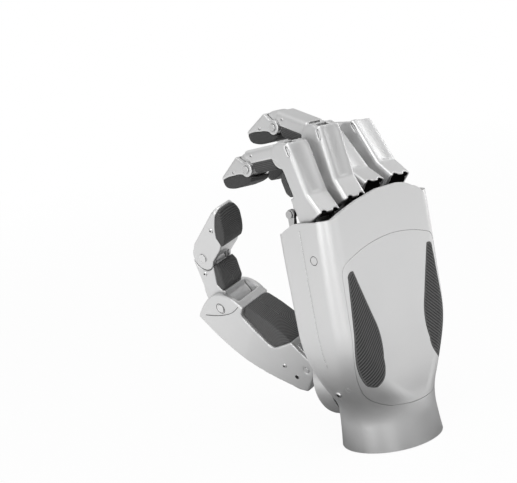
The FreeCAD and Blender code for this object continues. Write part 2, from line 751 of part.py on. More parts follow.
def mirrored(corners):
    """The same outline on the other side, walked the same way round."""
    result = []
    for number in range(len(corners) - 1, -1, -1):
        spot = corners[number - 1]
        result.append((-as_size(spot[0]), spot[1]) + tuple(corners[number][2:]))
    return result


def teardrop(side, grow):
    """Outline of a side grip on the back, widened by grow."""
    top, foot = S["grip_top"] + grow, S["grip_foot"] - grow
    far = S["cover_half"] + grow
    near = S["cover_half"] - S["grip_width"] - grow
    corners = [
        (near + 7, foot, 16), (far - 6.5, foot + 3, 8), (far - 1, foot + 17, 40),
        (far - 0.4, foot + 27, 60), (far - 3, top - 5), (near + 11.4, top - 1.5, 3.4),
        (near + 1.6, top - 31), (near - 0.2, foot + 15, 40)]
    return corners if side > 0 else mirrored(corners)


def pad_outline(grow):
    """Outline of the palm pad with the bite round the thumb's turret, widened by grow."""
    half, top, foot = S["pad_half"] + grow, S["pad_top"] + grow, S["pad_foot"] - grow
    across, height = S["turret_place"], S["turret_height"]
    bite = S["turret_radius"] + 4 - grow
    return [
        (across - bite * 0.9397, height + bite * 0.342),
        (across + bite * 0.7431, height + bite * 0.6691, -bite),
        (half - 8, foot + 3.2), (half, foot + 7, 6), (half + 0.5, top - 15), (half - 8.5, top - 3.5, 12),
        (-half + 8.5, top - 3.5, 102), (-half - 0.5, top - 15, 12), (-half - 1, foot + 7),
        (-half + 7, foot - 6.5, 11), (12.5 - half + grow * 2, foot - 5, 4.5)]


def above_rim():
    """Everything over the shaped rim of the palm housing."""
    flank, back, front, dip = S["flank_rim"], S["dorsal_rim"], S["palmar_rim"], S["rim_dip"]
    far = 70
    dorsal = prism("XZ_Plane", [
        (-far, flank), (-36, flank), (-28, back - 4.5, -14), (-16, back - 0.4, -30), (2, back),
        (20, back - 2.8), (33, back - 6), (40, flank + 0.5, -30), (far, flank), (far, 200),
        (-far, 200)], -far, far - 13)
    flanks = prism("YZ_Plane", [
        (-14, front), (-8, front + 3), (0, flank - 0.2, -14), (13, flank), (13, 200), (-14, 200)],
        -far, far * 2)
    palmar = prism("XZ_Plane", [
        (-far, front), (8, front), (22, dip + 1), (32, dip, 20), (40, dip + 2.4, 16),
        (far, front + 12), (far, 200), (-far, 200)], 14, far)
    return fuse(dorsal, flanks, palmar)


def build_palm(outer, inner):
    """The housing's two halves, the back cover, the grips and the palm pad."""
    gap, none = S["seat_gap"], as_size(0)
    floor = housing(S["inlay_depth"])
    skin = cut(outer, floor)
    trimmed = cut(cut(outer, inner), above_rim())
    front_room = prism("XZ_Plane", [(-70, -5), (70, -5), (70, 200), (-70, 200)], 0, 60)
    back_room = prism("XZ_Plane", [(-70, -5), (70, -5), (70, 200), (-70, 200)], -60, 60)
    opening = rod("XZ_Plane", [(S["turret_place"], S["turret_height"])],
                  S["turret_radius"] + S["turret_gap"], 10, 50)
    recess = common(skin, prism("XZ_Plane", pad_outline(gap), 10, 50))
    publish("palm_shell", cut(cut(common(trimmed, front_room), recess), opening))
    publish("palm_pad", common(skin, prism("XZ_Plane", pad_outline(none), 10, 50)))
    places = [(7.3, S["plug_height"], S["plug_radius"]), (7.6, S["grip_foot"] + 0.4, S["screw_radius"])]
    fittings = []
    for along, height, radius in places:
        for start in (-60, 0):
            hole = rod("YZ_Plane", [(along, height)], radius, start, 60)
            fittings.append(common(hole, skin))
    publish("shell_screws", join("shell_screws", fittings))
    recess = common(skin, prism("XZ_Plane", shield(gap), -60, 55))
    publish("back_shell", cut(cut(common(trimmed, back_room), recess), fuse(*fittings)))
    openings = [prism("XZ_Plane", teardrop(side, gap), -60, 55) for side in (-1, 1)]
    cover = common(skin, prism("XZ_Plane", shield(none), -60, 55))
    publish("dorsal_cover", cut(cover, fuse(*openings)))
    grips = [common(skin, prism("XZ_Plane", teardrop(side, none), -60, 55)) for side in (-1, 1)]
    publish("side_grips", join("side_grips", grips))


def join(label, solids):
    """Several separate solids kept together as one sub-part."""
    group = doc.addObject("Part::Compound", label)
    group.Links = list(solids)
    return group


def build_chassis(core):
    """Deck with lugs for the knuckles, spine down to the wrist, shelf for the drives."""
    deck, plate = S["deck_top"], S["deck_plate"]
    depth, height = S["knuckle_depth"], S["knuckle_height"]
    solids = [common(prism("XY_Plane", [(-60, -3.6), (60, -3.6), (60, 18.6), (-60, 18.6)],
                           deck - plate, plate), core)]
    near = S["cross_depth"] + S["tongue_gap"] * 2
    lug, half, slim = S["lug_wall"], S["lug_half"], S["lug_foot"]
    bores = []
    for finger in FINGERS:
        number = FINGERS.index(finger)
        across = S["finger_pitch"] * (1.5 - number)
        top = height - S["index_drop"] if number == 0 else height
        solids.append(prism("XY_Plane", [
            (across - slim, depth - near - lug), (across + slim, depth - near - lug),
            (across + slim, -3), (across - slim, -3)], deck - plate, plate))
        for start in (-depth + near, -depth - near - lug):
            solids.append(prism("XZ_Plane", [
                (across - slim, deck - 1), (across + slim, deck - 1), (across + half, top),
                (across - half, top, half + 0.001)], start, lug))
        bores.append(rod("XZ_Plane", [(across, top)], S["trunnion_radius"] + S["running_gap"], -30, 60))
    face, spine, wide = S["spine_face"], S["spine_wall"], S["spine_width"] / 2
    solids.append(prism("XY_Plane", [
        (-wide, face), (wide, face), (wide, face + spine), (-wide, face + spine)],
        S["flange_height"], deck - plate + 1 - S["flange_height"]))
    shelf = prism("XY_Plane", [(-40.5, -15.8), (40.5, -15.8), (40.5, face + 1), (-40.5, face + 1)],
                  S["shelf_top"] - 4, 4)
    solids.append(common(shelf, core))
    publish("palm_chassis", cut(fuse(*solids), fuse(*bores)))
    ring = rod("XY_Plane", [(0, 0)], S["cuff_radius"] + 5, 0, S["flange_height"])
    circle = S["bolt_circle"] / 2
    tapped = [(circle * math.cos(math.radians(60 * step)), circle * math.sin(math.radians(60 * step)))
              for step in range(6)]
    hollow = fuse(rod("XY_Plane", [(0, 0)], S["flange_bore"], -1, 20),
                  rod("XY_Plane", tapped, S["bolt_radius"], -1, 20))
    publish("wrist_flange", cut(common(ring, core), hollow))
    drives = []
    for number in range(4):
        for side in (-1, 1):
            spot = [(S["finger_pitch"] * (1.5 - number) + 5.3 * side, -12)]
            drives.append(fuse(
                rod("XY_Plane", spot, S["drive_radius"], S["shelf_top"], S["drive_length"]),
                rod("XY_Plane", spot, S["drive_rod"], S["shelf_top"] + S["drive_length"] - 1, 5)))
    place = [(S["turret_place"], S["turret_height"])]
    drives.append(fuse(rod("XZ_Plane", place, 12, -face, 14), rod("XZ_Plane", place, 3, -face + 13, 5.9)))
    publish("palm_drives", join("palm_drives", drives))
    publish("control_board", prism("XY_Plane", [
        (-20, face + spine), (20, face + spine), (20, face + spine + S["board_wall"]),
        (-20, face + spine + S["board_wall"])], S["palm_low"] - 22, 58))


# Thumb
def build_turret():
    """Turning drum with a dome, a scooped pocket, a pedestal for the thumb's root and a nose."""
    body = new_body("thumb_turret")
    radius = S["turret_radius"]
    low, high, deep = -S["turret_proud"], -S["dome_proud"], 6.5
    profile = draw(body, "XY_Plane", [
        (0, deep), (0, high - 2), (11, high, 45), (radius - 2.4, low - 1.6, 18), (radius, low, 3),
        (radius, deep)])
    drum = body.newObject("PartDesign::Revolution", "drum")
    drum.Profile = profile
    drum.ReferenceAxis = (profile, ["V_Axis"])
    drum.Angle = 360
    reach, rise, eye = -S["thumb_reach"], S["thumb_rise"], S["pedestal_round"]
    mast = draw(body, "YZ_Plane", [
        (reach, rise - eye), (high + 3, rise - eye - 3), (high + 3, rise + eye + 3), (reach, rise + eye)])
    raise_solid(body, mast, S["pedestal_width"])
    raise_solid(body, draw_circles(body, "YZ_Plane", [(reach, rise)], eye), S["pedestal_width"])
    nose = draw_circles(body, "XY_Plane", [(0, high + 0.4)], 3.4, -21)
    raise_solid(body, nose, 14, both=False)
    scoop = draw(body, "XZ_Plane", [
        (-10, -12), (-10, 17), (-14.5, 14.5, 6), (-19, 2, 22), (-15, -11, 26)], -low - 2)
    cut_solid(body, scoop, 20, both=False, backward=True)
    slot = draw(body, "XY_Plane", [(-1.9, high - 5), (1.9, high - 5), (1.9, high - 1), (-1.9, high - 1)],
                -17)
    cut_solid(body, slot, 6, both=False)
    bore = draw_circles(body, "YZ_Plane", [(reach, rise)], S["thumb_pin"] + S["running_gap"])
    cut_solid(body, bore, 30)
    return body


def pad_edge(sign):
    """The curved edge between the thumb's first segment and its pad, from the tip down or back up."""
    length = S["metacarpal_length"]
    spots = [(-12.6, length - 15.4), (-8, length - 15.4), (-5.4, length - 17.5), (0.2, length - 37.5),
             (-1.6, length - 44.5), (-6.5, length - 48), (-13, length - 52.5)]
    bends = {2: 3.5, 4: 5.5}
    if sign < 0:
        return [spot + ((-bends[number],) if number in bends else ())
                for number, spot in enumerate(spots)]
    return [spots[number] + ((bends[number + 1],) if number + 1 in bends else ())
            for number in range(len(spots) - 1, -1, -1)]


def build_metacarpal():
    """Thumb's first segment: a deep tapered shell with an ear each side of the thumb knuckle."""
    body = new_body("thumb_metacarpal")
    width, length = S["metacarpal_width"], S["metacarpal_length"]
    back, front, half = S["metacarpal_back"], S["metacarpal_front"], S["metacarpal_width"] / 2
    outline = [
        (-front, -6), (back - 5.4, -5.4), (back - 1, 7, 22), (back + 0.5, length + 8, 130),
        (back - 1, length + 14.8), (-1, length + 10.4, 60), (-13.1, length - 11, 20)]
    outline += pad_edge(-1)
    raise_solid(body, draw(body, "YZ_Plane", outline), width)
    for side in (-1, 1):
        taper = [(half * side + 2 * side, -8), (half * side - 3.2 * side, -8),
                 (half * side, length * 0.62), (half * side + 2 * side, length * 0.62)]
        if side < 0:
            taper.reverse()
        cut_solid(body, draw(body, "XZ_Plane", taper), 100)
    knuckle = draw(body, "YZ_Plane", [
        (-30, length - 9.4), (-6, length - 9.4), (0, length - 14.2), (14.2, length, 14.2),
        (14.2, length + 12), (17, length + 20), (-30, length + 20)])
    cut_solid(body, knuckle, S["thumb_width"] + 0.5)
    eye = S["pedestal_round"] + 1
    root = draw(body, "YZ_Plane", [
        (-30, -20), (eye, -20), (eye, 3), (0, eye, 9), (-10, 12), (-30, 12)])
    cut_solid(body, root, S["pedestal_width"] + 0.6)
    seat = draw(body, "YZ_Plane", [
        (back - 3.4, 7, -130), (back + 12, 7), (back + 12, length + 8), (back - 1.9, length + 8)])
    cut_solid(body, seat, width * 0.74 + S["seat_gap"] * 2)
    cut_solid(body, draw_circles(body, "YZ_Plane", [(0, 0), (0, length)], S["thumb_pin"]), width + 2)
    return body


def build_thumb_cover():
    """Plate on the back of the thumb's first segment, with a bevelled top."""
    body = new_body("thumb_back_cover")
    back, length = S["metacarpal_back"], S["metacarpal_length"]
    outline = draw(body, "YZ_Plane", [
        (back - 3.4, 7, -130), (back - 1, 7), (back + 0.8, length + 4, 130), (back - 1.5, length + 8),
        (back - 1.9, length + 8)])
    raise_solid(body, outline, S["metacarpal_width"] * 0.74)
    return body


def build_metacarpal_pad():
    """Rubber pad on the palm side of the thumb's first segment."""
    body = new_body("thumb_metacarpal_pad")
    length = S["metacarpal_length"]
    outline = pad_edge(1) + [(-14.4, length - 20, 6), (-14.4, length - 49, 90)]
    raise_solid(body, draw(body, "YZ_Plane", outline), S["metacarpal_width"] * 0.82)
    return body


def build_thumb_pins():
    """Hinge pins of the thumb's root and knuckle, the second with flat caps."""
    width = S["metacarpal_width"]
    length, cap = S["metacarpal_length"], 0.5
    root = rod("YZ_Plane", [(0, 0)], S["thumb_pin"], -width * 0.39, width * 0.78)
    knuckle = rod("YZ_Plane", [(0, length)], S["thumb_pin"], -width / 2, width)
    caps = [rod("YZ_Plane", [(0, length)], S["cap_radius"], width / 2, cap),
            rod("YZ_Plane", [(0, length)], S["cap_radius"], -width / 2 - cap, cap)]
    return publish("thumb_pins", join("thumb_pins", [root, fuse(knuckle, *caps)]))


def build_thumb_proximal():
    """Thumb's second segment: round root, straight shell and a hood over the end joint."""
    body = new_body("thumb_proximal")
    width, back, length, off = S["thumb_width"], S["thumb_back"], S["thumb_length"], S["thumb_end_back"]
    raise_solid(body, draw_circles(body, "YZ_Plane", [(0, 0)], S["thumb_root"]), width)
    room = S["thumb_round"] + 0.4
    low = as_size(math.sqrt(room.number ** 2 - (off.number + 2.4) ** 2))
    high = as_size(math.sqrt(room.number ** 2 - 2 ** 2))
    shell = draw(body, "YZ_Plane", [
        (-5.6, 1.2), (8, -3), (back - 0.8, 2, 9), (back, 8, 16), (back + 1.6, length - 2),
        (off + high, length - 2), (-2.4, length - low, -room), (0.2, 14.5), (-2.7, 11.2),
        (-5.2, 10.8)])
    solid = raise_solid(body, shell, width)
    round_edges(body, solid, long_edges(width, 1), 2.4)
    raise_solid(body, draw_circles(body, "YZ_Plane", [(off, length)], 6), S["thumb_tongue"])
    neck = draw(body, "YZ_Plane", [
        (off - 6, length - 12), (off + 6, length - 12), (off + 6, length), (off - 6, length)])
    raise_solid(body, neck, S["thumb_tongue"])
    cut_solid(body, draw_circles(body, "YZ_Plane", [(0, 0)], S["thumb_pin"] + S["running_gap"]), width)
    cut_solid(body, draw_circles(body, "YZ_Plane", [(off, length)], S["thumb_pin"]), width)
    return body


def build_thumb_proximal_pad():
    """Rubber pad on the front of the thumb's second segment."""
    body = new_body("thumb_proximal_pad")
    length, off, front = S["thumb_length"], S["thumb_end_back"], -S["thumb_front"]
    room = S["thumb_round"].number + 0.4
    low = as_size(math.sqrt(room ** 2 - (off.number + 2.4) ** 2))
    outline = draw(body, "YZ_Plane", [
        (-2.7, 11.2), (0.2, 14.5), (-2.4, length - low), (front + 2, length - low - 0.5),
        (front, length - low - 3), (front, 13.6), (front + 2, 11.2)])
    solid = raise_solid(body, outline, S["thumb_width"] - 0.6)
    round_edges(body, solid, long_edges(S["thumb_width"] - 0.6, -1), 1.6)
    return body


def build_thumb_end_pin():
    """Hinge pin of the thumb's end joint with two flat caps."""
    width, off, length = S["thumb_tip_width"], S["thumb_end_back"], S["thumb_length"]
    shaft = rod("YZ_Plane", [(off, length)], S["thumb_pin"], -width / 2 - 0.1, width + 0.2)
    caps = [rod("YZ_Plane", [(off, length)], S["cap_radius"], width / 2 + 0.1, 0.5),
            rod("YZ_Plane", [(off, length)], S["cap_radius"], -width / 2 - 0.6, 0.5)]
    return publish("thumb_ip_pin", join("thumb_ip_pin", [fuse(shaft, *caps)]))


def build_thumb_distal():
    """Thumb's third segment: round cheeks, sloping nail side and a curved seat for the pad."""
    body = new_body("thumb_distal")
    tip, width, cheek = S["thumb_tip"], S["thumb_tip_width"], S["thumb_round"]
    raise_solid(body, draw_circles(body, "YZ_Plane", [(0, 0)], cheek), width)
    shell = draw(body, "YZ_Plane", [
        (-cheek + 0.4, 3.4), (cheek - 0.2, 1), (cheek + 0.2, 5), (0.6, tip - 1.2), (-1.8, tip, 1.8),
        (-4.4, tip - 16, -60), (-6.4, tip - 20.5, 30), (-11, tip - 23.5, 14), (-10.6, tip - 28)])
    raise_solid(body, shell, width)
    slot = draw(body, "YZ_Plane", [(-15, -12), (6.4, -12), (6.4, 2), (2, 6.6, 8), (-15, 6.6)])
    cut_solid(body, slot, S["thumb_tongue"] + S["tongue_gap"] * 2)
    cut_solid(body, draw_circles(body, "YZ_Plane", [(0, 0)], S["thumb_pin"] + S["running_gap"]), width)
    trim_tip(body, width / 2, tip, 5.5)
    return body


def build_thumb_distal_pad():
    """Fingertip pad of the thumb."""
    body = new_body("thumb_distal_pad")
    tip, width = S["thumb_tip"], S["thumb_tip_width"]
    outline = draw(body, "YZ_Plane", [
        (-11, tip - 23.5), (-6.4, tip - 20.5, -14), (-4.4, tip - 16, -30), (-1.8, tip, 60),
        (-9, tip - 7.5, 16), (-12.8, tip - 18, 26), (-12.4, tip - 22, 12)])
    raise_solid(body, outline, width)
    trim_tip(body, width / 2, tip, 5.5)
    return body


FINGER_BUILDERS = [
    ("knuckle", build_knuckle, "knuckle"), ("proximal", build_proximal, "proximal"),
    ("proximal_pad", build_proximal_pad, "proximal"), ("cross_bar", build_cross_bar, "proximal"),
    ("push_rods", build_push_rods, "rods"), ("middle", build_middle, "middle"),
    ("middle_pad", build_middle_pad, "middle"), ("pins", build_pins, "middle"),
    ("distal", build_distal, "distal"), ("distal_pad", build_distal_pad, "distal"),
]

OUTER, INNER = housing(as_size(0)), housing(S["shell_wall"])
build_palm(OUTER, INNER)
build_chassis(INNER)
for name, builder, frame in FINGER_BUILDERS:
    first = None
    for finger in FINGERS:
        label = f"{finger}_{name}"
        if first is not None and first.TypeId == "PartDesign::Body":
            piece = copy_body(label, first)
        else:
            piece = builder(label)
            doc.recompute()
            first = first or piece
    for finger in FINGERS:
        piece = [item for item in PARTS if item.Label == f"{finger}_{name}"][0]
        piece.Placement = finger_frames(finger)[frame]

THUMB = thumb_frames()
build_turret().Placement = THUMB["turret"]
for builder in (build_metacarpal, build_thumb_cover, build_metacarpal_pad, build_thumb_pins):
    builder().Placement = THUMB["metacarpal"]
for builder in (build_thumb_proximal, build_thumb_proximal_pad, build_thumb_end_pin):
    builder().Placement = THUMB["proximal"]
for builder in (build_thumb_distal, build_thumb_distal_pad):
    builder().Placement = THUMB["distal"]

doc.recompute()
faulty = [item.Label for item in doc.Objects if "Invalid" in item.State or "Error" in item.State]
if faulty:
    raise RuntimeError(f"features that failed: {faulty}")
os.makedirs("parts", exist_ok=True)
for piece in PARTS:
    shape = piece.Shape
    if shape.isNull() or not shape.isValid():
        raise RuntimeError(f"{piece.Label} has no valid shape")
    shape.exportStep(f"parts/{piece.Label}.step")
print(len(PARTS), "sub-parts")
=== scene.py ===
# %% [markdown]
# # A dexterous robot hand
# The hand is a satin metal palm on a round wrist cuff, with four fingers alike, a thumb on a
# turning drum, and dark rubber pads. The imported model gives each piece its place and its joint.
# Here every visible piece gets rounded edges, its small fittings and its finish.

# %% Load the frame
import json
import math

import bmesh
import bpy
from mathutils import Matrix, Vector
from mathutils.bvhtree import BVHTree

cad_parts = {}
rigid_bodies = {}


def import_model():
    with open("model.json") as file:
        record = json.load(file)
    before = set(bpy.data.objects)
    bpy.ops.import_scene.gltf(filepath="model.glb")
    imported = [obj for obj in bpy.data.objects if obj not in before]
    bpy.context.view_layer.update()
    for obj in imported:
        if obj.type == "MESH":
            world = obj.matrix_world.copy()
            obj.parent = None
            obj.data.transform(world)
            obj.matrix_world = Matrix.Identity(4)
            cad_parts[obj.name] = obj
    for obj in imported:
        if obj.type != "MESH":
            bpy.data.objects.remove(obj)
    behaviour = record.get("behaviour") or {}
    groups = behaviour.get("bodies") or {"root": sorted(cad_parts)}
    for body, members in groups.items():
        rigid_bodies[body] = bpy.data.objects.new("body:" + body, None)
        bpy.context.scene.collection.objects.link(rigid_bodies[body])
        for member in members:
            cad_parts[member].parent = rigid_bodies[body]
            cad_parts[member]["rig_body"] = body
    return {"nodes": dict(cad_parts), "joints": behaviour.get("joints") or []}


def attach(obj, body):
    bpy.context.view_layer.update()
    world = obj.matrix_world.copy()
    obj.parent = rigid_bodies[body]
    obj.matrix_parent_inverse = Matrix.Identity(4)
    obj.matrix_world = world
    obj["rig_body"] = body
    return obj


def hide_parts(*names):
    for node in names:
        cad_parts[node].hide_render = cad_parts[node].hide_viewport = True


MM = 0.001
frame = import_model()
NODES = frame["nodes"]
JOINTS = {joint["name"]: joint for joint in frame["joints"]}
FINGERS = ("index", "middle", "ring", "pinky")
BOTH = (1, -1)
PHOTO_WIDTH, PHOTO_HEIGHT = 517, 483
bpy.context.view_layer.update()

# %% [markdown]
# ## Camera
# A product shot like this one is taken from some way off with a long lens, so that the palm does
# not look swollen. The camera circles a point in the palm. Its turn, height and tilt come from
# lining up the cuff, the rim and the finger joints. The hand is not in the middle of the frame, and
# the lens shift moves it there without changing the view.

# %% Camera
AIM = Vector((0, 0, 90 * MM))
AZIMUTH, ELEVATION, ROLL = (math.radians(angle) for angle in (133.61, 12.35, 9.79))
DISTANCE, FOCAL_PIXELS = 0.75, 1291.65
AIM_PIXEL = (367.7, 289.2)
SENSOR_WIDTH = 36


def seen_from(turn, rise):
    """The direction of a place as seen from the hand, from its two angles."""
    return Vector((math.sin(turn) * math.cos(rise), -math.cos(turn) * math.cos(rise),
                   math.sin(rise)))


def place_camera():
    """A camera on a circle round the aim, tilted about its own axis."""
    back = seen_from(AZIMUTH, ELEVATION)
    right = Vector((math.cos(AZIMUTH), math.sin(AZIMUTH), 0))
    up = back.cross(right)
    tilted_right = right * math.cos(ROLL) - up * math.sin(ROLL)
    tilted_up = right * math.sin(ROLL) + up * math.cos(ROLL)
    lens = bpy.data.cameras.new("camera")
    lens.sensor_width = SENSOR_WIDTH
    lens.lens = SENSOR_WIDTH * FOCAL_PIXELS / PHOTO_WIDTH
    lens.shift_x = (PHOTO_WIDTH / 2 - AIM_PIXEL[0]) / PHOTO_WIDTH
    lens.shift_y = (AIM_PIXEL[1] - PHOTO_HEIGHT / 2) / PHOTO_WIDTH
    lens.clip_start, lens.clip_end = 0.01, 20
    camera = bpy.data.objects.new("camera", lens)
    turn = Matrix((tilted_right, tilted_up, back)).transposed().to_4x4()
    camera.matrix_world = Matrix.Translation(AIM + back * DISTANCE) @ turn
    bpy.context.scene.collection.objects.link(camera)
    bpy.context.scene.camera = camera
    return camera


camera = place_camera()
bpy.context.scene.view_settings.view_transform = "Standard"
print("lens", round(camera.data.lens, 1), "mm")

# %% [markdown]
# ## Shader maths
# A material is a web of nodes. Writing it as sums is easier to read, so a small class wraps a
# socket and gives it the usual signs. Adding two wrapped sockets adds a Math node to the web.


# %% Shader helpers
class Wire:
    """One output of a node, with arithmetic."""

    def __init__(self, web, socket):
        self.web = web
        self.socket = socket

    def maths(self, operation, *others):
        """A Math node that starts with this wire."""
        return self.web.node("ShaderNodeMath", {"operation": operation}, (self,) + others)

    def __add__(self, other):
        return self.maths("ADD", other)

    def __sub__(self, other):
        return self.maths("SUBTRACT", other)

    def __rsub__(self, other):
        return self.web.node("ShaderNodeMath", {"operation": "SUBTRACT"}, (other, self))

    def __mul__(self, other):
        return self.maths("MULTIPLY", other)

    __radd__ = __add__
    __rmul__ = __mul__

    def smooth(self, low, high, start=0.0, end=1.0):
        """Ease from start to end while the wire goes from low to high."""
        return self.web.node("ShaderNodeMapRange", {"interpolation_type": "SMOOTHSTEP"},
                             (self, low, high, start, end))


class Web:
    """A web of nodes in one tree."""

    def __init__(self, tree):
        self.tree = tree

    def node(self, kind, settings=None, values=(), pick=0):
        """Add a node. Values is a row of inputs or a dict by name, and pick names the output."""
        item = self.tree.nodes.new(kind)
        for key, setting in (settings or {}).items():
            if key == "stops":
                fill_ramp(item.color_ramp, setting)
            else:
                setattr(item, key, setting)
        pairs = values.items() if isinstance(values, dict) else enumerate(values)
        for key, given in pairs:
            if isinstance(given, Wire):
                self.tree.links.new(given.socket, item.inputs[key])
            elif given is not None:
                item.inputs[key].default_value = given
        return Wire(self, item.outputs[pick])

    def split(self, vector):
        """The three numbers of a vector."""
        item = self.tree.nodes.new("ShaderNodeSeparateXYZ")
        self.tree.links.new(vector.socket, item.inputs[0])
        return [Wire(self, socket) for socket in item.outputs]

    def rays(self):
        """1 for a ray from the camera, for a mirrored one, and for one through glass."""
        outputs = self.tree.nodes.new("ShaderNodeLightPath").outputs
        return [Wire(self, outputs[name])
                for name in ("Is Camera Ray", "Is Glossy Ray", "Is Transmission Ray")]

    def finish(self, kind, wire):
        """Add the output node and lead a wire to its first input."""
        self.tree.links.new(wire.socket, self.tree.nodes.new(kind).inputs[0])


class Finish(Web):
    """The node web of one material."""

    def __init__(self, name):
        self.material = bpy.data.materials.new(name)
        self.material.use_nodes = True
        super().__init__(self.material.node_tree)
        self.tree.nodes.clear()

    def place(self):
        """Where a point is on the object, in metres."""
        return self.node("ShaderNodeTexCoord", pick="Object")

    def noise(self, scale, detail=4.0, rough=0.5, vector=None):
        """Soft random values from 0 to 1."""
        values = {"Vector": vector or self.place(), "Scale": scale, "Detail": detail,
                  "Roughness": rough}
        return self.node("ShaderNodeTexNoise", {"normalize": True}, values)

    def mix(self, factor, first, second):
        """Blend two colours. The sockets for colours have the numbers 6 and 7."""
        item = self.tree.nodes.new("ShaderNodeMix")
        item.data_type = "RGBA"
        self.tree.links.new(factor.socket, item.inputs[0])
        item.inputs[6].default_value = first
        item.inputs[7].default_value = second
        return Wire(self, item.outputs[2])

    def bump(self, height, distance, strength):
        """A normal tilted by a height."""
        return self.node("ShaderNodeBump", {}, {"Height": height, "Distance": distance,
                                                "Strength": strength})

    def surface(self, **values):
        """Finish the material with a Principled shader."""
        named = {key.replace("_", " ").title().replace("Ior", "IOR"): item
                 for key, item in values.items()}
        self.finish("ShaderNodeOutputMaterial", self.node("ShaderNodeBsdfPrincipled", {}, named))
        return self.material


def fill_ramp(ramp, stops):
    """Set the stops of a colour ramp."""
    while len(ramp.elements) > 1:
        ramp.elements.remove(ramp.elements[-1])
    ramp.elements[0].position, ramp.elements[0].color = stops[0]
    for position, color in stops[1:]:
        ramp.elements.new(position).color = color


def grey(value, warmth=0.0):
    """A colour from one number, slightly warm or cool."""
    return (value * (1 + warmth), value, value * (1 - warmth), 1.0)


# %% [markdown]
# ## Floor and light
# The photograph has a white sweep and big soft lamps. The floor is white to the camera and keeps a
# faint shadow. Satin metal shows what is round it in a blurred way: the floor far off gives the
# palm its even grey. Close under the hand the floor is painted dark to mirrored rays, a painted
# shade that gives the dark band over the neck. So mirrored rays see the floor's white grow with
# the distance from the hand.


# %% Stage
# Close under the hand, mirrored rays see little of the white and a dark grey: painted shade.
FLOOR_SEEN, FLOOR_NEAR, FLOOR_FAR = 0.94, 0.02, 0.8
FLOOR_PALE, FLOOR_PAINTED_SHADE = grey(0.85), grey(0.12)
FLOOR_REACH, FLOOR_DROP = 12.0, 0.6 * MM
# Distances from the hand, in metres, over which the floor changes.
SHADOW_EDGE = (0.25, 2.0)
MIRROR_EDGE = (0.04, 0.26)


def build_stage():
    """A white floor that catches a shadow, with painted shade for metal close to the hand."""
    web = Finish("white_sweep")
    camera_ray, mirrored, through = web.rays()
    across, along, _ = web.split(web.place())
    away = (across * across + along * along).maths("SQRT")
    to_camera = (camera_ray + through) * away.smooth(*SHADOW_EDGE, FLOOR_SEEN, 1.0)
    to_metal = mirrored * away.smooth(*MIRROR_EDGE, FLOOR_NEAR, FLOOR_FAR)
    white_share = (to_camera + to_metal).maths("MINIMUM", 1.0)
    # Painted shade: close to the hand the floor turns dark grey to mirrored rays.
    painted_shade_share = mirrored * away.smooth(*MIRROR_EDGE, 1.0, 0.0)
    colour = web.mix(painted_shade_share, FLOOR_PALE, FLOOR_PAINTED_SHADE)
    matt = web.node("ShaderNodeBsdfDiffuse", {}, {"Color": colour})
    white = web.node("ShaderNodeEmission", {}, {"Color": grey(1.0), "Strength": 1.0})
    web.finish("ShaderNodeOutputMaterial",
               web.node("ShaderNodeMixShader", {}, (white_share, matt, white)))
    mesh = bpy.data.meshes.new("floor")
    reach = FLOOR_REACH
    mesh.from_pydata([(-reach, -reach, 0), (reach, -reach, 0), (reach, reach, 0),
                      (-reach, reach, 0)], [], [(0, 1, 2, 3)])
    mesh.materials.append(web.material)
    floor = bpy.data.objects.new("floor", mesh)
    floor.location.z = -FLOOR_DROP
    bpy.context.scene.collection.objects.link(floor)


build_stage()
print("floor ready")


# %% World and lamps
def build_world(stops, strength, share):
    """Brighter above, plain white to the camera, and a share of that white to metal."""
    world = bpy.data.worlds.new("studio")
    bpy.context.scene.world = world
    world.use_nodes = True
    world.node_tree.nodes.clear()
    web = Web(world.node_tree)
    height = web.split(web.node("ShaderNodeTexCoord", pick="Generated"))[2]
    shade = web.node("ShaderNodeValToRGB", {"stops": stops}, (height * 0.5 + 0.5,))
    camera_ray, mirrored, through = web.rays()
    white_share = (camera_ray + through + mirrored * share).maths("MINIMUM", 1.0)
    soft = web.node("ShaderNodeBackground", {}, (shade, strength))
    white = web.node("ShaderNodeBackground", {}, (grey(1.0), 1.0))
    web.finish("ShaderNodeOutputWorld",
               web.node("ShaderNodeMixShader", {}, (white_share, soft, white)))


def add_lamp(name, turn, rise, away, size, power):
    """A soft box that faces the hand. Turn and rise are its angles as seen from the hand."""
    light = bpy.data.lights.new(name, "AREA")
    light.shape = "RECTANGLE"
    light.size, light.size_y = size
    light.energy = power
    lamp = bpy.data.objects.new(name, light)
    lamp.location = AIM + away * seen_from(math.radians(turn), math.radians(rise))
    lamp.rotation_euler = (AIM - lamp.location).to_track_quat("-Z", "Y").to_euler()
    bpy.context.scene.collection.objects.link(lamp)


WORLD_STOPS = [(0.0, grey(0.5)), (0.47, grey(0.22)), (0.55, grey(0.3)), (0.66, grey(0.65)),
               (0.82, grey(0.95)), (1.0, grey(1.0))]
WORLD_STRENGTH, WORLD_MIRRORED = 0.62, 0.12
build_world(WORLD_STOPS, WORLD_STRENGTH, WORLD_MIRRORED)
# Name, turn and rise in degrees, distance and size in metres, power in watts.
LAMPS = [
    ("lamp_high", 150, 62, 1.2, (0.9, 0.9), 5.2),
    ("lamp_thumb_side", 84, 6, 1.3, (0.5, 1.1), 3.6),
    ("lamp_front_strip", 128, 10, 1.5, (0.5, 1.1), 3.2),
    ("lamp_back", 188, 20, 1.4, (0.9, 1.1), 1.5),
    ("lamp_palm", 0, 25, 1.3, (1.4, 1.4), 1.3),
    ("lamp_little_side", 262, 16, 1.4, (0.3, 1.0), 2.6),
]
for lamp in LAMPS:
    add_lamp(*lamp)
print(len(LAMPS), "lamps")

# %% [markdown]
# ## Where each segment lies
# Ribs, screws and side walls are easiest to place along a finger, so each segment gets a small
# frame of its own: X is its hinge axis, Z runs to the next joint and Y points to its back. The
# joints say where the axes are. Their low ends say how far each joint is bent in this pose,
# because a middle or end joint at its low end is straight.


# %% Segment frames
def joint_place(name):
    """Where a joint's axis is."""
    return Vector(JOINTS[name]["pos_m"])


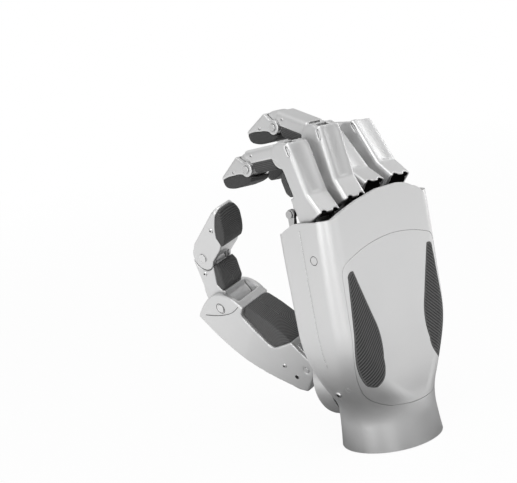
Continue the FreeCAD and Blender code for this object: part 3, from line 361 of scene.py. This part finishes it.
def low_end(name):
    """A joint's low limit, in degrees from this pose."""
    return JOINTS[name]["range_deg"][0]


def frame_of(origin, across, along):
    """A matrix from a segment's own axes to the scene."""
    across = across.normalized()
    along = (along - across * along.dot(across)).normalized()
    turn = Matrix((across, along.cross(across), along)).transposed().to_4x4()
    return Matrix.Translation(origin) @ turn


def bent(along, across, degrees):
    """A direction turned about the hinge axis, towards the palm when degrees is positive."""
    return Matrix.Rotation(math.radians(degrees), 3, across) @ along


STRAIGHT_KNUCKLE = -5
THUMB_END_BEND = 36
THUMB_END_BACK, THUMB_LENGTH = 5, 33
SEGMENTS = {"hand": Matrix.Identity(4)}
for finger in FINGERS:
    hinge = Vector(JOINTS[f"{finger}_bend"]["axis"])
    root, middle, end = (joint_place(f"{finger}_{name}bend") for name in ("", "middle_", "end_"))
    first = (middle - root).normalized()
    second = bent(first, hinge, -low_end(f"{finger}_middle_bend"))
    third = bent(second, hinge, -low_end(f"{finger}_end_bend"))
    lean = STRAIGHT_KNUCKLE - low_end(f"{finger}_bend")
    SEGMENTS[f"{finger}_first"] = frame_of(root, hinge, first)
    SEGMENTS[f"{finger}_second"] = frame_of(middle, hinge, second)
    SEGMENTS[f"{finger}_third"] = frame_of(end, hinge, third)
    SEGMENTS[f"{finger}_links"] = frame_of(joint_place(f"{finger}_link_swing"), hinge,
                                           bent(first, hinge, -lean))
hinge = -Vector(JOINTS["thumb_root_bend"]["axis"])
root, knuckle, end = (joint_place(f"thumb_{name}_bend") for name in ("root", "knuckle", "end"))
second = bent(end - knuckle, hinge, math.degrees(math.atan2(THUMB_END_BACK, THUMB_LENGTH)))
SEGMENTS["thumb_first"] = frame_of(root, hinge, knuckle - root)
SEGMENTS["thumb_second"] = frame_of(knuckle, hinge, second)
SEGMENTS["thumb_third"] = frame_of(end, hinge, bent(second, hinge, THUMB_END_BEND))
print(len(SEGMENTS), "segment frames")

# %% [markdown]
# ## Metal finishes
# The shells are cast and sprayed in a satin silver: metallic, fairly rough, with a fine flake that
# only shows close up. The frame under the shells is darker machined metal.


# %% Metals
def satin_silver(name, value, rough):
    """Silver paint with a fine flake and slight unevenness in its gloss."""
    web = Finish(name)
    flake = web.noise(2600.0, 1.0, 0.4)
    cloud = web.noise(34.0, 3.0, 0.5)
    colour = web.mix(cloud, grey(value * 0.975, 0.003), grey(value * 1.02, -0.004))
    gloss = cloud.smooth(0.3, 0.7, rough - 0.03, rough + 0.04) + flake * 0.05
    return web.surface(base_color=colour, metallic=0.85, roughness=gloss, specular_ior_level=0.5,
                       normal=web.bump(flake, 0.02 * MM, 0.3))


def turned_metal(name, value, rough):
    """Machined metal with fine cutting marks."""
    web = Finish(name)
    stretched = web.node("ShaderNodeMapping", {}, {"Vector": web.place(), "Scale": (900, 900, 60)})
    marks = web.noise(1.0, 2.0, 0.6, stretched)
    colour = web.mix(marks, grey(value * 0.86), grey(value * 1.06))
    return web.surface(base_color=colour, metallic=1.0, roughness=marks * 0.16 + (rough - 0.06),
                       normal=web.bump(marks, 0.03 * MM, 0.3))


SILVER = satin_silver("satin_silver", 0.74, 0.39)
# Shell insides, sockets, gaps and seams get a near-black metal, which is painted shade.
PAINTED_SHADE_METAL = turned_metal("dark_inside", 0.035, 0.6)
FRAME_METAL = turned_metal("dark_frame_metal", 0.1, 0.45)
DRIVE_METAL = turned_metal("drive_metal", 0.16, 0.4)
STEEL = turned_metal("brushed_steel", 0.6, 0.28)
PIN_STEEL = turned_metal("turned_steel", 0.78, 0.24)
print("metals ready")

# %% [markdown]
# ## Rubber finishes
# The pads are charcoal rubber with fine ribs, nested like a fingerprint. The ribs have to follow
# each segment, so a pad carries an attribute with its place along the segment, and the ribs are
# waves in the distance from a line in that attribute. The grooves get painted shade and the
# crowns painted light.


# %% Rubbers
def wave(distance, pitch):
    """A sine wave along a distance."""
    return (distance * (2 * math.pi / pitch)).maths("SINE")


def segment_place(web):
    """A pad's own attribute: across, deep and along its segment."""
    return web.split(web.node("ShaderNodeAttribute", {"attribute_name": "local"}, pick="Vector"))


def ribs(web, crown, groove_shade_tone, crown_light_tone, rough, depth, strength):
    """Finish a ribbed rubber. Crown is 0 in the grooves and 1 on the ribs."""
    dust = web.noise(900.0, 2.0)
    # Painted shade darkens the grooves and painted light brightens the crowns.
    return web.surface(base_color=web.mix(crown, grey(groove_shade_tone), grey(crown_light_tone)),
                       roughness=dust * 0.12 + rough, specular_ior_level=0.4,
                       normal=web.bump(crown, depth * MM, strength))


def nested_rubber(name, value, pitch, centre, half):
    """Charcoal rubber whose ribs are nested round a line along the middle of the pad."""
    web = Finish(name)
    across, deep, along = segment_place(web)
    past = ((along - centre).maths("ABSOLUTE") - half).maths("MAXIMUM", 0.0)
    out = across.maths("ABSOLUTE") + deep
    reach = (out * out + past * past).maths("SQRT")
    crown = wave(reach, pitch).smooth(-0.7, 0.7)
    return ribs(web, crown, value * 0.55, value * 1.35, 0.55, 0.2, 0.7)


def crossed_rubber(name, value, pitch):
    """Charcoal rubber with fine ribs that run across a fingertip."""
    web = Finish(name)
    across, _, along = segment_place(web)
    crown = wave(along + across * across * 12.0, pitch).smooth(-0.7, 0.7)
    return ribs(web, crown, value * 0.6, value * 1.3, 0.55, 0.2, 0.7)


def grip_rubber(name, value, pitch):
    """Dark rubber with straight ribs that slant across the grip."""
    web = Finish(name)
    across, _, height = web.split(web.place())
    crown = wave(height + across.maths("ABSOLUTE") * 0.9, pitch).smooth(-0.5, 0.5)
    return ribs(web, crown, value * 0.25, value, 0.5, 0.3, 0.8)


def plain_rubber(name, value):
    """Smooth moulded rubber."""
    web = Finish(name)
    grain = web.noise(1500.0, 3.0)
    colour = web.mix(grain, grey(value * 0.85), grey(value * 1.15))
    return web.surface(base_color=colour, roughness=grain * 0.1 + 0.55, specular_ior_level=0.4,
                       normal=web.bump(grain, 0.04 * MM, 0.4))


def woven_rubber(name, value, pitch):
    """Near-black rubber moulded with a small basket weave."""
    web = Finish(name)
    across, _, height = web.split(web.place())
    weave = wave(across, pitch) * wave(height, pitch) * 0.5 + 0.5
    drift = web.noise(60.0, 3.0)
    # Painted shade in the weave's hollows and painted light on its tops, plus random drift.
    colour = web.mix(weave * 0.8 + drift * 0.2, grey(value * 0.4), grey(value * 1.9))
    return web.surface(base_color=colour, roughness=weave * 0.15 + 0.55, specular_ior_level=0.45,
                       normal=web.bump(weave, 0.3 * MM, 0.8))


FINGER_RUBBER = nested_rubber("finger_pad_ribs", 0.07, 1.0 * MM, 16 * MM, 8 * MM)
TIP_RUBBER = crossed_rubber("fingertip_ribs", 0.055, 0.9 * MM)
THUMB_RUBBER = nested_rubber("thumb_pad_ribs", 0.1, 1.1 * MM, 42 * MM, 8 * MM)
THUMB_MID_RUBBER = nested_rubber("thumb_middle_ribs", 0.09, 1.1 * MM, 15 * MM, 3 * MM)
THUMB_TIP_RUBBER = crossed_rubber("thumb_tip_ribs", 0.07, 1.0 * MM)
PALM_RUBBER = woven_rubber("palm_weave", 0.03, 1.1 * MM)
GRIP_RUBBER = grip_rubber("grip_ribs", 0.09, 2.2 * MM)
GRIP_RIM = plain_rubber("grip_rim", 0.1)
BOARD = woven_rubber("board_mask", 0.05, 3 * MM)
print("rubbers ready")

# %% [markdown]
# ## Rounded edges
# A solid from the drawing has edges without any width, and real edges are always a little round.
# That thin round is what catches the light. Each node is copied, its loose triangles are welded
# and its coplanar ones are joined. On the palm, the pins and the rods a Bevel modifier rolls the
# sharp edges, and weighted normals keep the flat faces flat to the eye, because a big face counts
# for more than a small one. The segments' shells and pads are softer, as castings and mouldings
# are, so they are remade of small even faces and smoothed.

# %% Dress a node
WELD_REACH, FLAT_ANGLE = 0.003 * MM, math.radians(0.08)
EDGE_ANGLE, FACE_WEIGHT = 30, 80
FINE_GRAIN, COARSE_GRAIN = 0.38, 0.5
PALM_HALF_WIDTH, PALM_HALF_DEPTH = 46, 22
HOUSING_FACING = -0.002
SKIRT_HALF_WIDTH, SKIRT_TOP, SKIRT_BACK = 6.8, 13.4, 4
SKINS = {}


def weld(node):
    """A copy of a node's mesh with its triangles joined and flat areas made whole."""
    mesh = bpy.data.meshes.new(node + "_skin")
    work = bmesh.new()
    work.from_mesh(NODES[node].data)
    bmesh.ops.remove_doubles(work, verts=work.verts, dist=WELD_REACH)
    bmesh.ops.dissolve_limit(work, angle_limit=FLAT_ANGLE, verts=work.verts, edges=work.edges)
    work.to_mesh(mesh)
    work.free()
    return mesh


def final_mesh(piece):
    """The mesh that a piece has behind its modifiers or its curve settings."""
    graph = bpy.context.evaluated_depsgraph_get()
    return bpy.data.meshes.new_from_object(piece.evaluated_get(graph))


def apply_modifiers(piece):
    """Make a piece's modifiers real."""
    mesh = final_mesh(piece)
    piece.modifiers.clear()
    piece.data = mesh


def add_piece(name, mesh, *materials):
    """A new object at the origin with its materials."""
    piece = bpy.data.objects.new(name, mesh)
    bpy.context.scene.collection.objects.link(piece)
    for material in materials:
        mesh.materials.append(material)
    return piece


def round_off(piece, roll, angle=EDGE_ANGLE):
    """Rolled edges and even shading, made real."""
    for polygon in piece.data.polygons:
        polygon.use_smooth = True
    piece.data.set_sharp_from_angle(angle=math.radians(angle))
    if roll:
        bevel = piece.modifiers.new("round", "BEVEL")
        bevel.width = roll * MM
        bevel.segments = 2
        bevel.limit_method = "ANGLE"
        bevel.angle_limit = math.radians(angle)
        bevel.miter_outer = "MITER_ARC"
    even = piece.modifiers.new("even", "WEIGHTED_NORMAL")
    even.mode = "FACE_AREA"
    even.weight = FACE_WEIGHT
    even.keep_sharp = True
    apply_modifiers(piece)


def melt(piece, grain, passes, segment):
    """Soft moulded edges: even small faces first, then smoothing that only moves the edges.

    The small faces come from a grid, so the piece is laid along that grid while it is done.
    """
    piece.data.transform(SEGMENTS[segment].inverted())
    even = piece.modifiers.new("even_faces", "REMESH")
    even.mode = "VOXEL"
    even.voxel_size = grain * MM
    even.use_smooth_shade = True
    smooth = piece.modifiers.new("smooth", "SMOOTH")
    smooth.factor = 0.5
    smooth.iterations = passes
    apply_modifiers(piece)
    piece.data.transform(SEGMENTS[segment])


def write_local(piece, segment):
    """Give each point its place in the segment's own axes, with its depth from the pad's face."""
    back = SEGMENTS[segment].inverted()
    places = [back @ vertex.co for vertex in piece.data.vertices]
    face = min(place.y for place in places)
    attribute = piece.data.attributes.new("local", "FLOAT_VECTOR", "POINT")
    for number, place in enumerate(places):
        attribute.data[number].vector = place - Vector((0, face, 0))


def dress(node, material, roll=0.3, inside=None, passes=0, grain=FINE_GRAIN):
    """Stand a rounded copy in for a node. Inside tells which faces get the painted shade."""
    piece = add_piece(node + "_skin", weld(node), material, PAINTED_SHADE_METAL)
    if passes:
        melt(piece, grain, passes, NODES[node]["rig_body"])
    if inside:
        # Faces inside get the second material, the near-black painted shade.
        for polygon in piece.data.polygons:
            if inside(polygon.center / MM, polygon.normal):
                polygon.material_index = 1
    if not passes:
        round_off(piece, roll)
    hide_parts(node)
    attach(piece, NODES[node]["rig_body"])
    SKINS[node] = piece
    return piece


def outwards(place, normal):
    """How far a face of the palm looks out. Its place is in millimetres."""
    return (normal.x * place.x / PALM_HALF_WIDTH ** 2
            + normal.y * place.y / PALM_HALF_DEPTH ** 2)


def housing_inside(place, normal):
    """Whether a face of the palm's shells looks inwards."""
    return outwards(place, normal) < HOUSING_FACING


def skirt_inside(segment):
    """A test for the faces inside a first segment's skirt."""
    back = SEGMENTS[segment].inverted()

    def test(place, normal):
        spot = back @ (place * MM) / MM
        facing = back.to_3x3() @ normal
        outer_back = facing.y > 0.2 and spot.y > SKIRT_BACK
        return abs(spot.x) < SKIRT_HALF_WIDTH and spot.z < SKIRT_TOP and not outer_back

    return test


# %% [markdown]
# ## The palm
# The two halves of the housing meet in a hairline on the flanks. Their insides are painted
# dark as shade, so that the gaps at the knuckles look as deep as they are.

# %% Palm pieces
for name in ("palm_shell", "back_shell"):
    dress(name, SILVER, 0.15, inside=housing_inside)
for name, material, roll in (
        ("dorsal_cover", SILVER, 0.12), ("shell_screws", SILVER, 0.2),
        ("palm_pad", PALM_RUBBER, 0.15), ("palm_chassis", FRAME_METAL, 0.25),
        ("wrist_flange", FRAME_METAL, 0.3), ("palm_drives", DRIVE_METAL, 0.3),
        ("control_board", BOARD, 0.2)):
    dress(name, material, roll)
print("palm dressed")

# %% [markdown]
# Each side grip has a plain rim round its ribs. Insetting the outer faces of the grip as one
# region makes that rim an even strip.

# %% Side grips
GRIP_RIM_WIDTH, GRIP_FACING = 0.8, 0.025


def dress_grips():
    """The grips with a plain rim round the ribbed field."""
    mesh = weld("side_grips")
    work = bmesh.new()
    work.from_mesh(mesh)
    outer = [face for face in work.faces
             if outwards(face.calc_center_median() / MM, face.normal) > GRIP_FACING]
    rim = bmesh.ops.inset_region(work, faces=outer, thickness=GRIP_RIM_WIDTH * MM,
                                 use_even_offset=True)
    for face in rim["faces"]:
        face.material_index = 1
    work.to_mesh(mesh)
    work.free()
    piece = add_piece("side_grips_skin", mesh, GRIP_RUBBER, GRIP_RIM)
    round_off(piece, 0, 40)
    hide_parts("side_grips")
    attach(piece, "hand")
    return len(outer)


print(dress_grips(), "outer faces on the grips")

# %% [markdown]
# ## Fingers and thumb
# The four fingers are alike. The skirt of a first segment is open below, and its inside is
# painted dark as shade.
# The more passes of smoothing a piece gets, the softer its edges are.

# %% Finger pieces
for finger in FINGERS:
    dress(f"{finger}_proximal", SILVER, passes=22, inside=skirt_inside(f"{finger}_first"))
    dress(f"{finger}_middle", SILVER, passes=14)
    dress(f"{finger}_distal", SILVER, passes=12)
    for name, segment, rubber in (("proximal_pad", "first", FINGER_RUBBER),
                                  ("middle_pad", "second", FINGER_RUBBER),
                                  ("distal_pad", "third", TIP_RUBBER)):
        write_local(dress(f"{finger}_{name}", rubber, passes=16), f"{finger}_{segment}")
    for name in ("knuckle", "cross_bar", "push_rods"):
        dress(f"{finger}_{name}", STEEL, 0.25)
    dress(f"{finger}_pins", PIN_STEEL, 0.2)
print("fingers dressed")

# %% Thumb pieces
dress("thumb_turret", SILVER, 0.3)
dress("thumb_metacarpal", SILVER, passes=12, grain=COARSE_GRAIN)
for name, passes in (("back_cover", 12), ("proximal", 12), ("distal", 16)):
    dress(f"thumb_{name}", SILVER, passes=passes)
for name, segment, rubber, passes in (
        ("metacarpal_pad", "first", THUMB_RUBBER, 20),
        ("proximal_pad", "second", THUMB_MID_RUBBER, 20),
        ("distal_pad", "third", THUMB_TIP_RUBBER, 30)):
    write_local(dress(f"thumb_{name}", rubber, passes=passes), f"thumb_{segment}")
for name in ("thumb_pins", "thumb_ip_pin"):
    dress(name, PIN_STEEL, 0.15)

# %% [markdown]
# ## Screws, plugs and seam lines
# Small screws hold the segments together, and each hinge cap sits in a ring-shaped gap. The same
# two shapes come back dozens of times, so a Geometry Nodes tree puts one unit shape on every point
# of a small mesh, turns it to face out and scales it. One tree makes heads with a six-sided
# socket, and the other makes rings. The socket and the ring are dark: painted shade for the hollow
# of the socket and the gap round the cap. A ray shot at a piece finds where its surface is.


# %% A tree for repeated fittings
def point_value(web, kind, name):
    """A named attribute of the points or faces."""
    return web.node("GeometryNodeInputNamedAttribute", {"data_type": kind}, {"Name": name})


def fitting_tree(name, sizes, shape):
    """A tree that puts a unit shape on every point. The shape comes from a function."""
    web = Web(bpy.data.node_groups.new(name, "GeometryNodeTree"))
    face = web.tree.interface
    face.new_socket("Points", in_out="INPUT", socket_type="NodeSocketGeometry")
    for label in sizes:
        face.new_socket(label, in_out="INPUT", socket_type="NodeSocketFloat")
    for label in ("Steel", "Dark"):
        face.new_socket(label, in_out="INPUT", socket_type="NodeSocketMaterial")
    face.new_socket("Fittings", in_out="OUTPUT", socket_type="NodeSocketGeometry")
    start = web.tree.nodes.new("NodeGroupInput")
    given = {socket.name: Wire(web, socket) for socket in start.outputs if socket.name}
    turn = web.node("FunctionNodeAlignRotationToVector", {"axis": "Z"},
                    {"Vector": point_value(web, "FLOAT_VECTOR", "facing")})
    placed = web.node("GeometryNodeInstanceOnPoints", {},
                      {"Points": given["Points"], "Instance": shape(web, given),
                       "Rotation": turn, "Scale": point_value(web, "FLOAT", "size")})
    plain = web.node("GeometryNodeRealizeInstances", {}, {"Geometry": placed})
    steel = web.node("GeometryNodeSetMaterial", {}, {"Geometry": plain, "Material": given["Steel"]})
    # Faces marked as painted shade get the dark material.
    dark = web.node("GeometryNodeSetMaterial", {},
                    {"Geometry": steel, "Selection": point_value(web, "BOOLEAN", "shade_painted"),
                     "Material": given["Dark"]})
    web.finish("NodeGroupOutput", dark)
    return web.tree


def mark(web, shape, shade_painted):
    """Note on a shape's faces whether they are the dark ones, the painted shade."""
    return web.node("GeometryNodeStoreNamedAttribute", {"data_type": "BOOLEAN", "domain": "FACE"},
                    {"Geometry": shape, "Name": "shade_painted", "Value": shade_painted})


def head_shape(web, given):
    """A low head with a sloping edge, and a socket of painted shade that stands just above it."""
    head = web.node("GeometryNodeMeshCone", {}, {"Vertices": 24, "Radius Top": given["Top"],
                                                 "Radius Bottom": 1.0, "Depth": given["Height"]})
    socket = web.node("GeometryNodeMeshCone", {}, {"Vertices": 6, "Radius Top": given["Socket"],
                                                   "Radius Bottom": given["Socket"],
                                                   "Depth": given["Height"]})
    above = web.node("ShaderNodeCombineXYZ", {}, {"Z": 0.03})
    lifted = web.node("GeometryNodeTransform", {}, {"Geometry": socket, "Translation": above})
    join = web.tree.nodes.new("GeometryNodeJoinGeometry")
    for part in (mark(web, lifted, True), mark(web, head, False)):
        web.tree.links.new(part.socket, join.inputs[0])
    return Wire(web, join.outputs[0])


def ring_shape(web, given):
    """A thin ring of painted shade round a cap."""
    path = web.node("GeometryNodeCurvePrimitiveCircle", {}, {"Resolution": 36, "Radius": 1.0})
    line = web.node("GeometryNodeCurvePrimitiveCircle", {}, {"Resolution": 6,
                                                             "Radius": given["Line"]})
    ring = web.node("GeometryNodeCurveToMesh", {}, {"Curve": path, "Profile Curve": line})
    return mark(web, ring, True)


HEAD_TREE = fitting_tree("screw_heads", ("Height", "Top", "Socket"), head_shape)
RING_TREE = fitting_tree("cap_rings", ("Line",), ring_shape)
# Dark is the painted shade in the sockets, the hole and the rings round caps.
HEAD = {"Height": 0.35, "Top": 0.82, "Socket": 0.45, "Steel": PIN_STEEL, "Dark": PAINTED_SHADE_METAL}
HOLE = {"Height": 0.06, "Top": 0.96, "Socket": 0.8, "Steel": PIN_STEEL, "Dark": PAINTED_SHADE_METAL}
RING = {"Line": 0.05, "Steel": PIN_STEEL, "Dark": PAINTED_SHADE_METAL}
print("trees:", HEAD_TREE.name, RING_TREE.name)

# %% Set fittings on a body
RAY_START = 60
LINE_LIFT = 0.14
surface_trees = {}


def surface_tree(node):
    """A search tree of the faces of a node's skin, made once."""
    if node not in surface_trees:
        mesh = SKINS[node].data
        surface_trees[node] = BVHTree.FromPolygons(
            [vertex.co for vertex in mesh.vertices],
            [polygon.vertices[:] for polygon in mesh.polygons])
    return surface_trees[node]


def surface_at(node, segment, side, deep, along, aside=0):
    """The point and normal of a skin's flank, found by a ray that comes in from the side."""
    here = SEGMENTS[segment]
    start = here @ (Vector((side * RAY_START, deep + aside, along)) * MM)
    inward = here.to_3x3() @ Vector((-side, 0, 0))
    spot, normal, _, _ = surface_tree(node).ray_cast(start, inward)
    if spot is not None:
        spot = spot - here.to_3x3() @ (Vector((0, aside, 0)) * MM)
    return spot, normal


def fit_on(name, tree, values, node, body, deep, along, size):
    """Run a tree on the two flanks of a node's skin. The place is in the body's own axes.

    A ring lies round a cap that stands proud, so its ray goes in beside the cap.
    """
    aside = size if tree is RING_TREE else 0
    found = [surface_at(node, body, side, deep, along, aside) for side in BOTH]
    found = [(spot, normal) for spot, normal in found if spot is not None]
    mesh = bpy.data.meshes.new(name)
    mesh.from_pydata([spot for spot, normal in found], [], [])
    mesh.attributes.new("facing", "FLOAT_VECTOR", "POINT")
    mesh.attributes.new("size", "FLOAT", "POINT")
    for number, (_, normal) in enumerate(found):
        mesh.attributes["facing"].data[number].vector = normal
        mesh.attributes["size"].data[number].value = size * MM
    fitting = add_piece(name, mesh, values["Steel"])
    modifier = fitting.modifiers.new("fittings", "NODES")
    modifier.node_group = tree
    for item in tree.interface.items_tree:
        if item.in_out == "INPUT" and item.name in values:
            modifier[item.identifier] = values[item.name]
    apply_modifiers(fitting)
    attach(fitting, body)
    return len(found)


def line_on(name, node, body, spots, thick, material):
    """A fine line along both flanks, drawn through places that rays find on the surface."""
    curve = bpy.data.curves.new(name, "CURVE")
    curve.dimensions = "3D"
    curve.bevel_depth = thick * MM
    curve.bevel_resolution = 1
    curve.resolution_u = 6
    curve.use_fill_caps = True
    for side in BOTH:
        found = [surface_at(node, body, side, deep, along) for deep, along in spots]
        found = [spot + normal * LINE_LIFT * MM for spot, normal in found if spot is not None]
        spline = curve.splines.new("NURBS")
        spline.points.add(len(found) - 1)
        for point, spot in zip(spline.points, found):
            point.co = (*spot, 1)
        spline.order_u = 3
        spline.use_endpoint_u = True
    drawn = bpy.data.objects.new(name, curve)
    bpy.context.scene.collection.objects.link(drawn)
    mesh = final_mesh(drawn)
    bpy.data.objects.remove(drawn)
    mesh.materials.clear()
    line = add_piece(name, mesh, material)
    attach(line, body)
    return len(mesh.polygons)


# %% [markdown]
# Two flat bars with round eyes carry the upper ends of each finger's push rods. Screws sit on both
# flanks of a finger, one by the far end of the middle segment and one on the fingertip. A dark ring
# of painted shade goes round the cap of the end hinge.

# %% Link bars
BAR_PLACE, BAR_HALF_THICK = 7.6, 1.2
BAR_HALF_WIDTH, BAR_LENGTH, EYE_RADIUS = 2.1, 8.5, 2.7


def link_bars(finger):
    """Two flat bars with round eyes at the push rods' upper ends."""
    outline = [(-BAR_HALF_WIDTH, -BAR_LENGTH), (BAR_HALF_WIDTH, -BAR_LENGTH)]
    outline += [(EYE_RADIUS * math.cos(math.radians(turn)),
                 EYE_RADIUS * math.sin(math.radians(turn))) for turn in range(-30, 211, 15)]
    work = bmesh.new()
    for side in BOTH:
        rings = [[work.verts.new(Vector((side * BAR_PLACE + deep, across, along)) * MM)
                  for across, along in outline] for deep in (-BAR_HALF_THICK, BAR_HALF_THICK)]
        work.faces.new(reversed(rings[0]))
        work.faces.new(rings[1])
        for number in range(len(outline)):
            after = (number + 1) % len(outline)
            work.faces.new((rings[0][number], rings[0][after], rings[1][after], rings[1][number]))
    bmesh.ops.recalc_face_normals(work, faces=work.faces)
    mesh = bpy.data.meshes.new(f"{finger}_link_bars")
    work.to_mesh(mesh)
    work.free()
    mesh.transform(SEGMENTS[f"{finger}_links"])
    piece = add_piece(f"{finger}_link_bars", mesh, STEEL)
    round_off(piece, 0.35)
    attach(piece, f"{finger}_links")
    return len(BOTH)


# %% Finger fittings
# Name, tree, its values, node, segment, then the place towards the back and along, and the size.
FINGER_FITTINGS = [
    ("middle_screws", HEAD_TREE, HEAD, "middle", "second", 3.6, 23.5, 1.0),
    ("tip_screws", HEAD_TREE, HEAD, "distal", "third", 3.4, 10.5, 1.0),
    ("tip_rings", RING_TREE, RING, "distal", "third", 0, 0, 2.3),
]
count = 0
for finger in FINGERS:
    for name, tree, values, node, segment, *place in FINGER_FITTINGS:
        count += fit_on(f"{finger}_{name}", tree, values, f"{finger}_{node}",
                        f"{finger}_{segment}", *place)
    count += link_bars(finger)
print(count, "finger fittings")

# %% [markdown]
# The thumb has larger screws, and its root segment has a plugged hole beside the turret, with
# painted shade in it. Each flank of the palm has a ring of painted shade round its plug and one
# screw low down.

# %% Thumb and palm fittings
FITTINGS = [
    ("thumb_root_screws", HEAD_TREE, HEAD, "thumb_metacarpal", "thumb_first", 8.4, 14.8, 1.7),
    ("thumb_root_holes", HEAD_TREE, HOLE, "thumb_metacarpal", "thumb_first", 10.4, 4.6, 1.8),
    ("thumb_middle_screws", HEAD_TREE, HEAD, "thumb_proximal", "thumb_second", 7.6, 22.0, 1.7),
    ("thumb_tip_screws", HEAD_TREE, HEAD, "thumb_distal", "thumb_third", -1.5, 25.5, 1.7),
    ("thumb_root_rings", RING_TREE, RING, "thumb_metacarpal", "thumb_first", 0, 68, 3.4),
    ("palm_plug_rings", RING_TREE, RING, "back_shell", "hand", 7.3, 119, 2.55),
    ("palm_flank_screws", HEAD_TREE, HEAD, "palm_shell", "hand", -2.3, 37.3, 2.1),
]
print(sum(fit_on(*row) for row in FITTINGS), "thumb and palm fittings")

# %% [markdown]
# Two fine lines finish the housing and the thumb. The halves of the housing meet in a seam that
# shines a little, and the thumb's root segment has a curved seam below its hinge cap, drawn as a
# dark line of painted shade.

# %% Seam lines
PALM_SEAM = [(0.06, height) for height in range(56, 138, 4)]
THUMB_SEAM = [(14.4, 77.5), (9.8, 71.3), (4.5, 65.6), (-0.7, 61), (-6, 57.7), (-11.6, 56)]
faces = line_on("palm_seam", "back_shell", "hand", PALM_SEAM, 0.17, PIN_STEEL)
# The thumb's seam is a dark line of painted shade.
faces += line_on("thumb_seam", "thumb_metacarpal", "thumb_first", THUMB_SEAM, 0.16, PAINTED_SHADE_METAL)
print(faces, "faces in the seam lines")
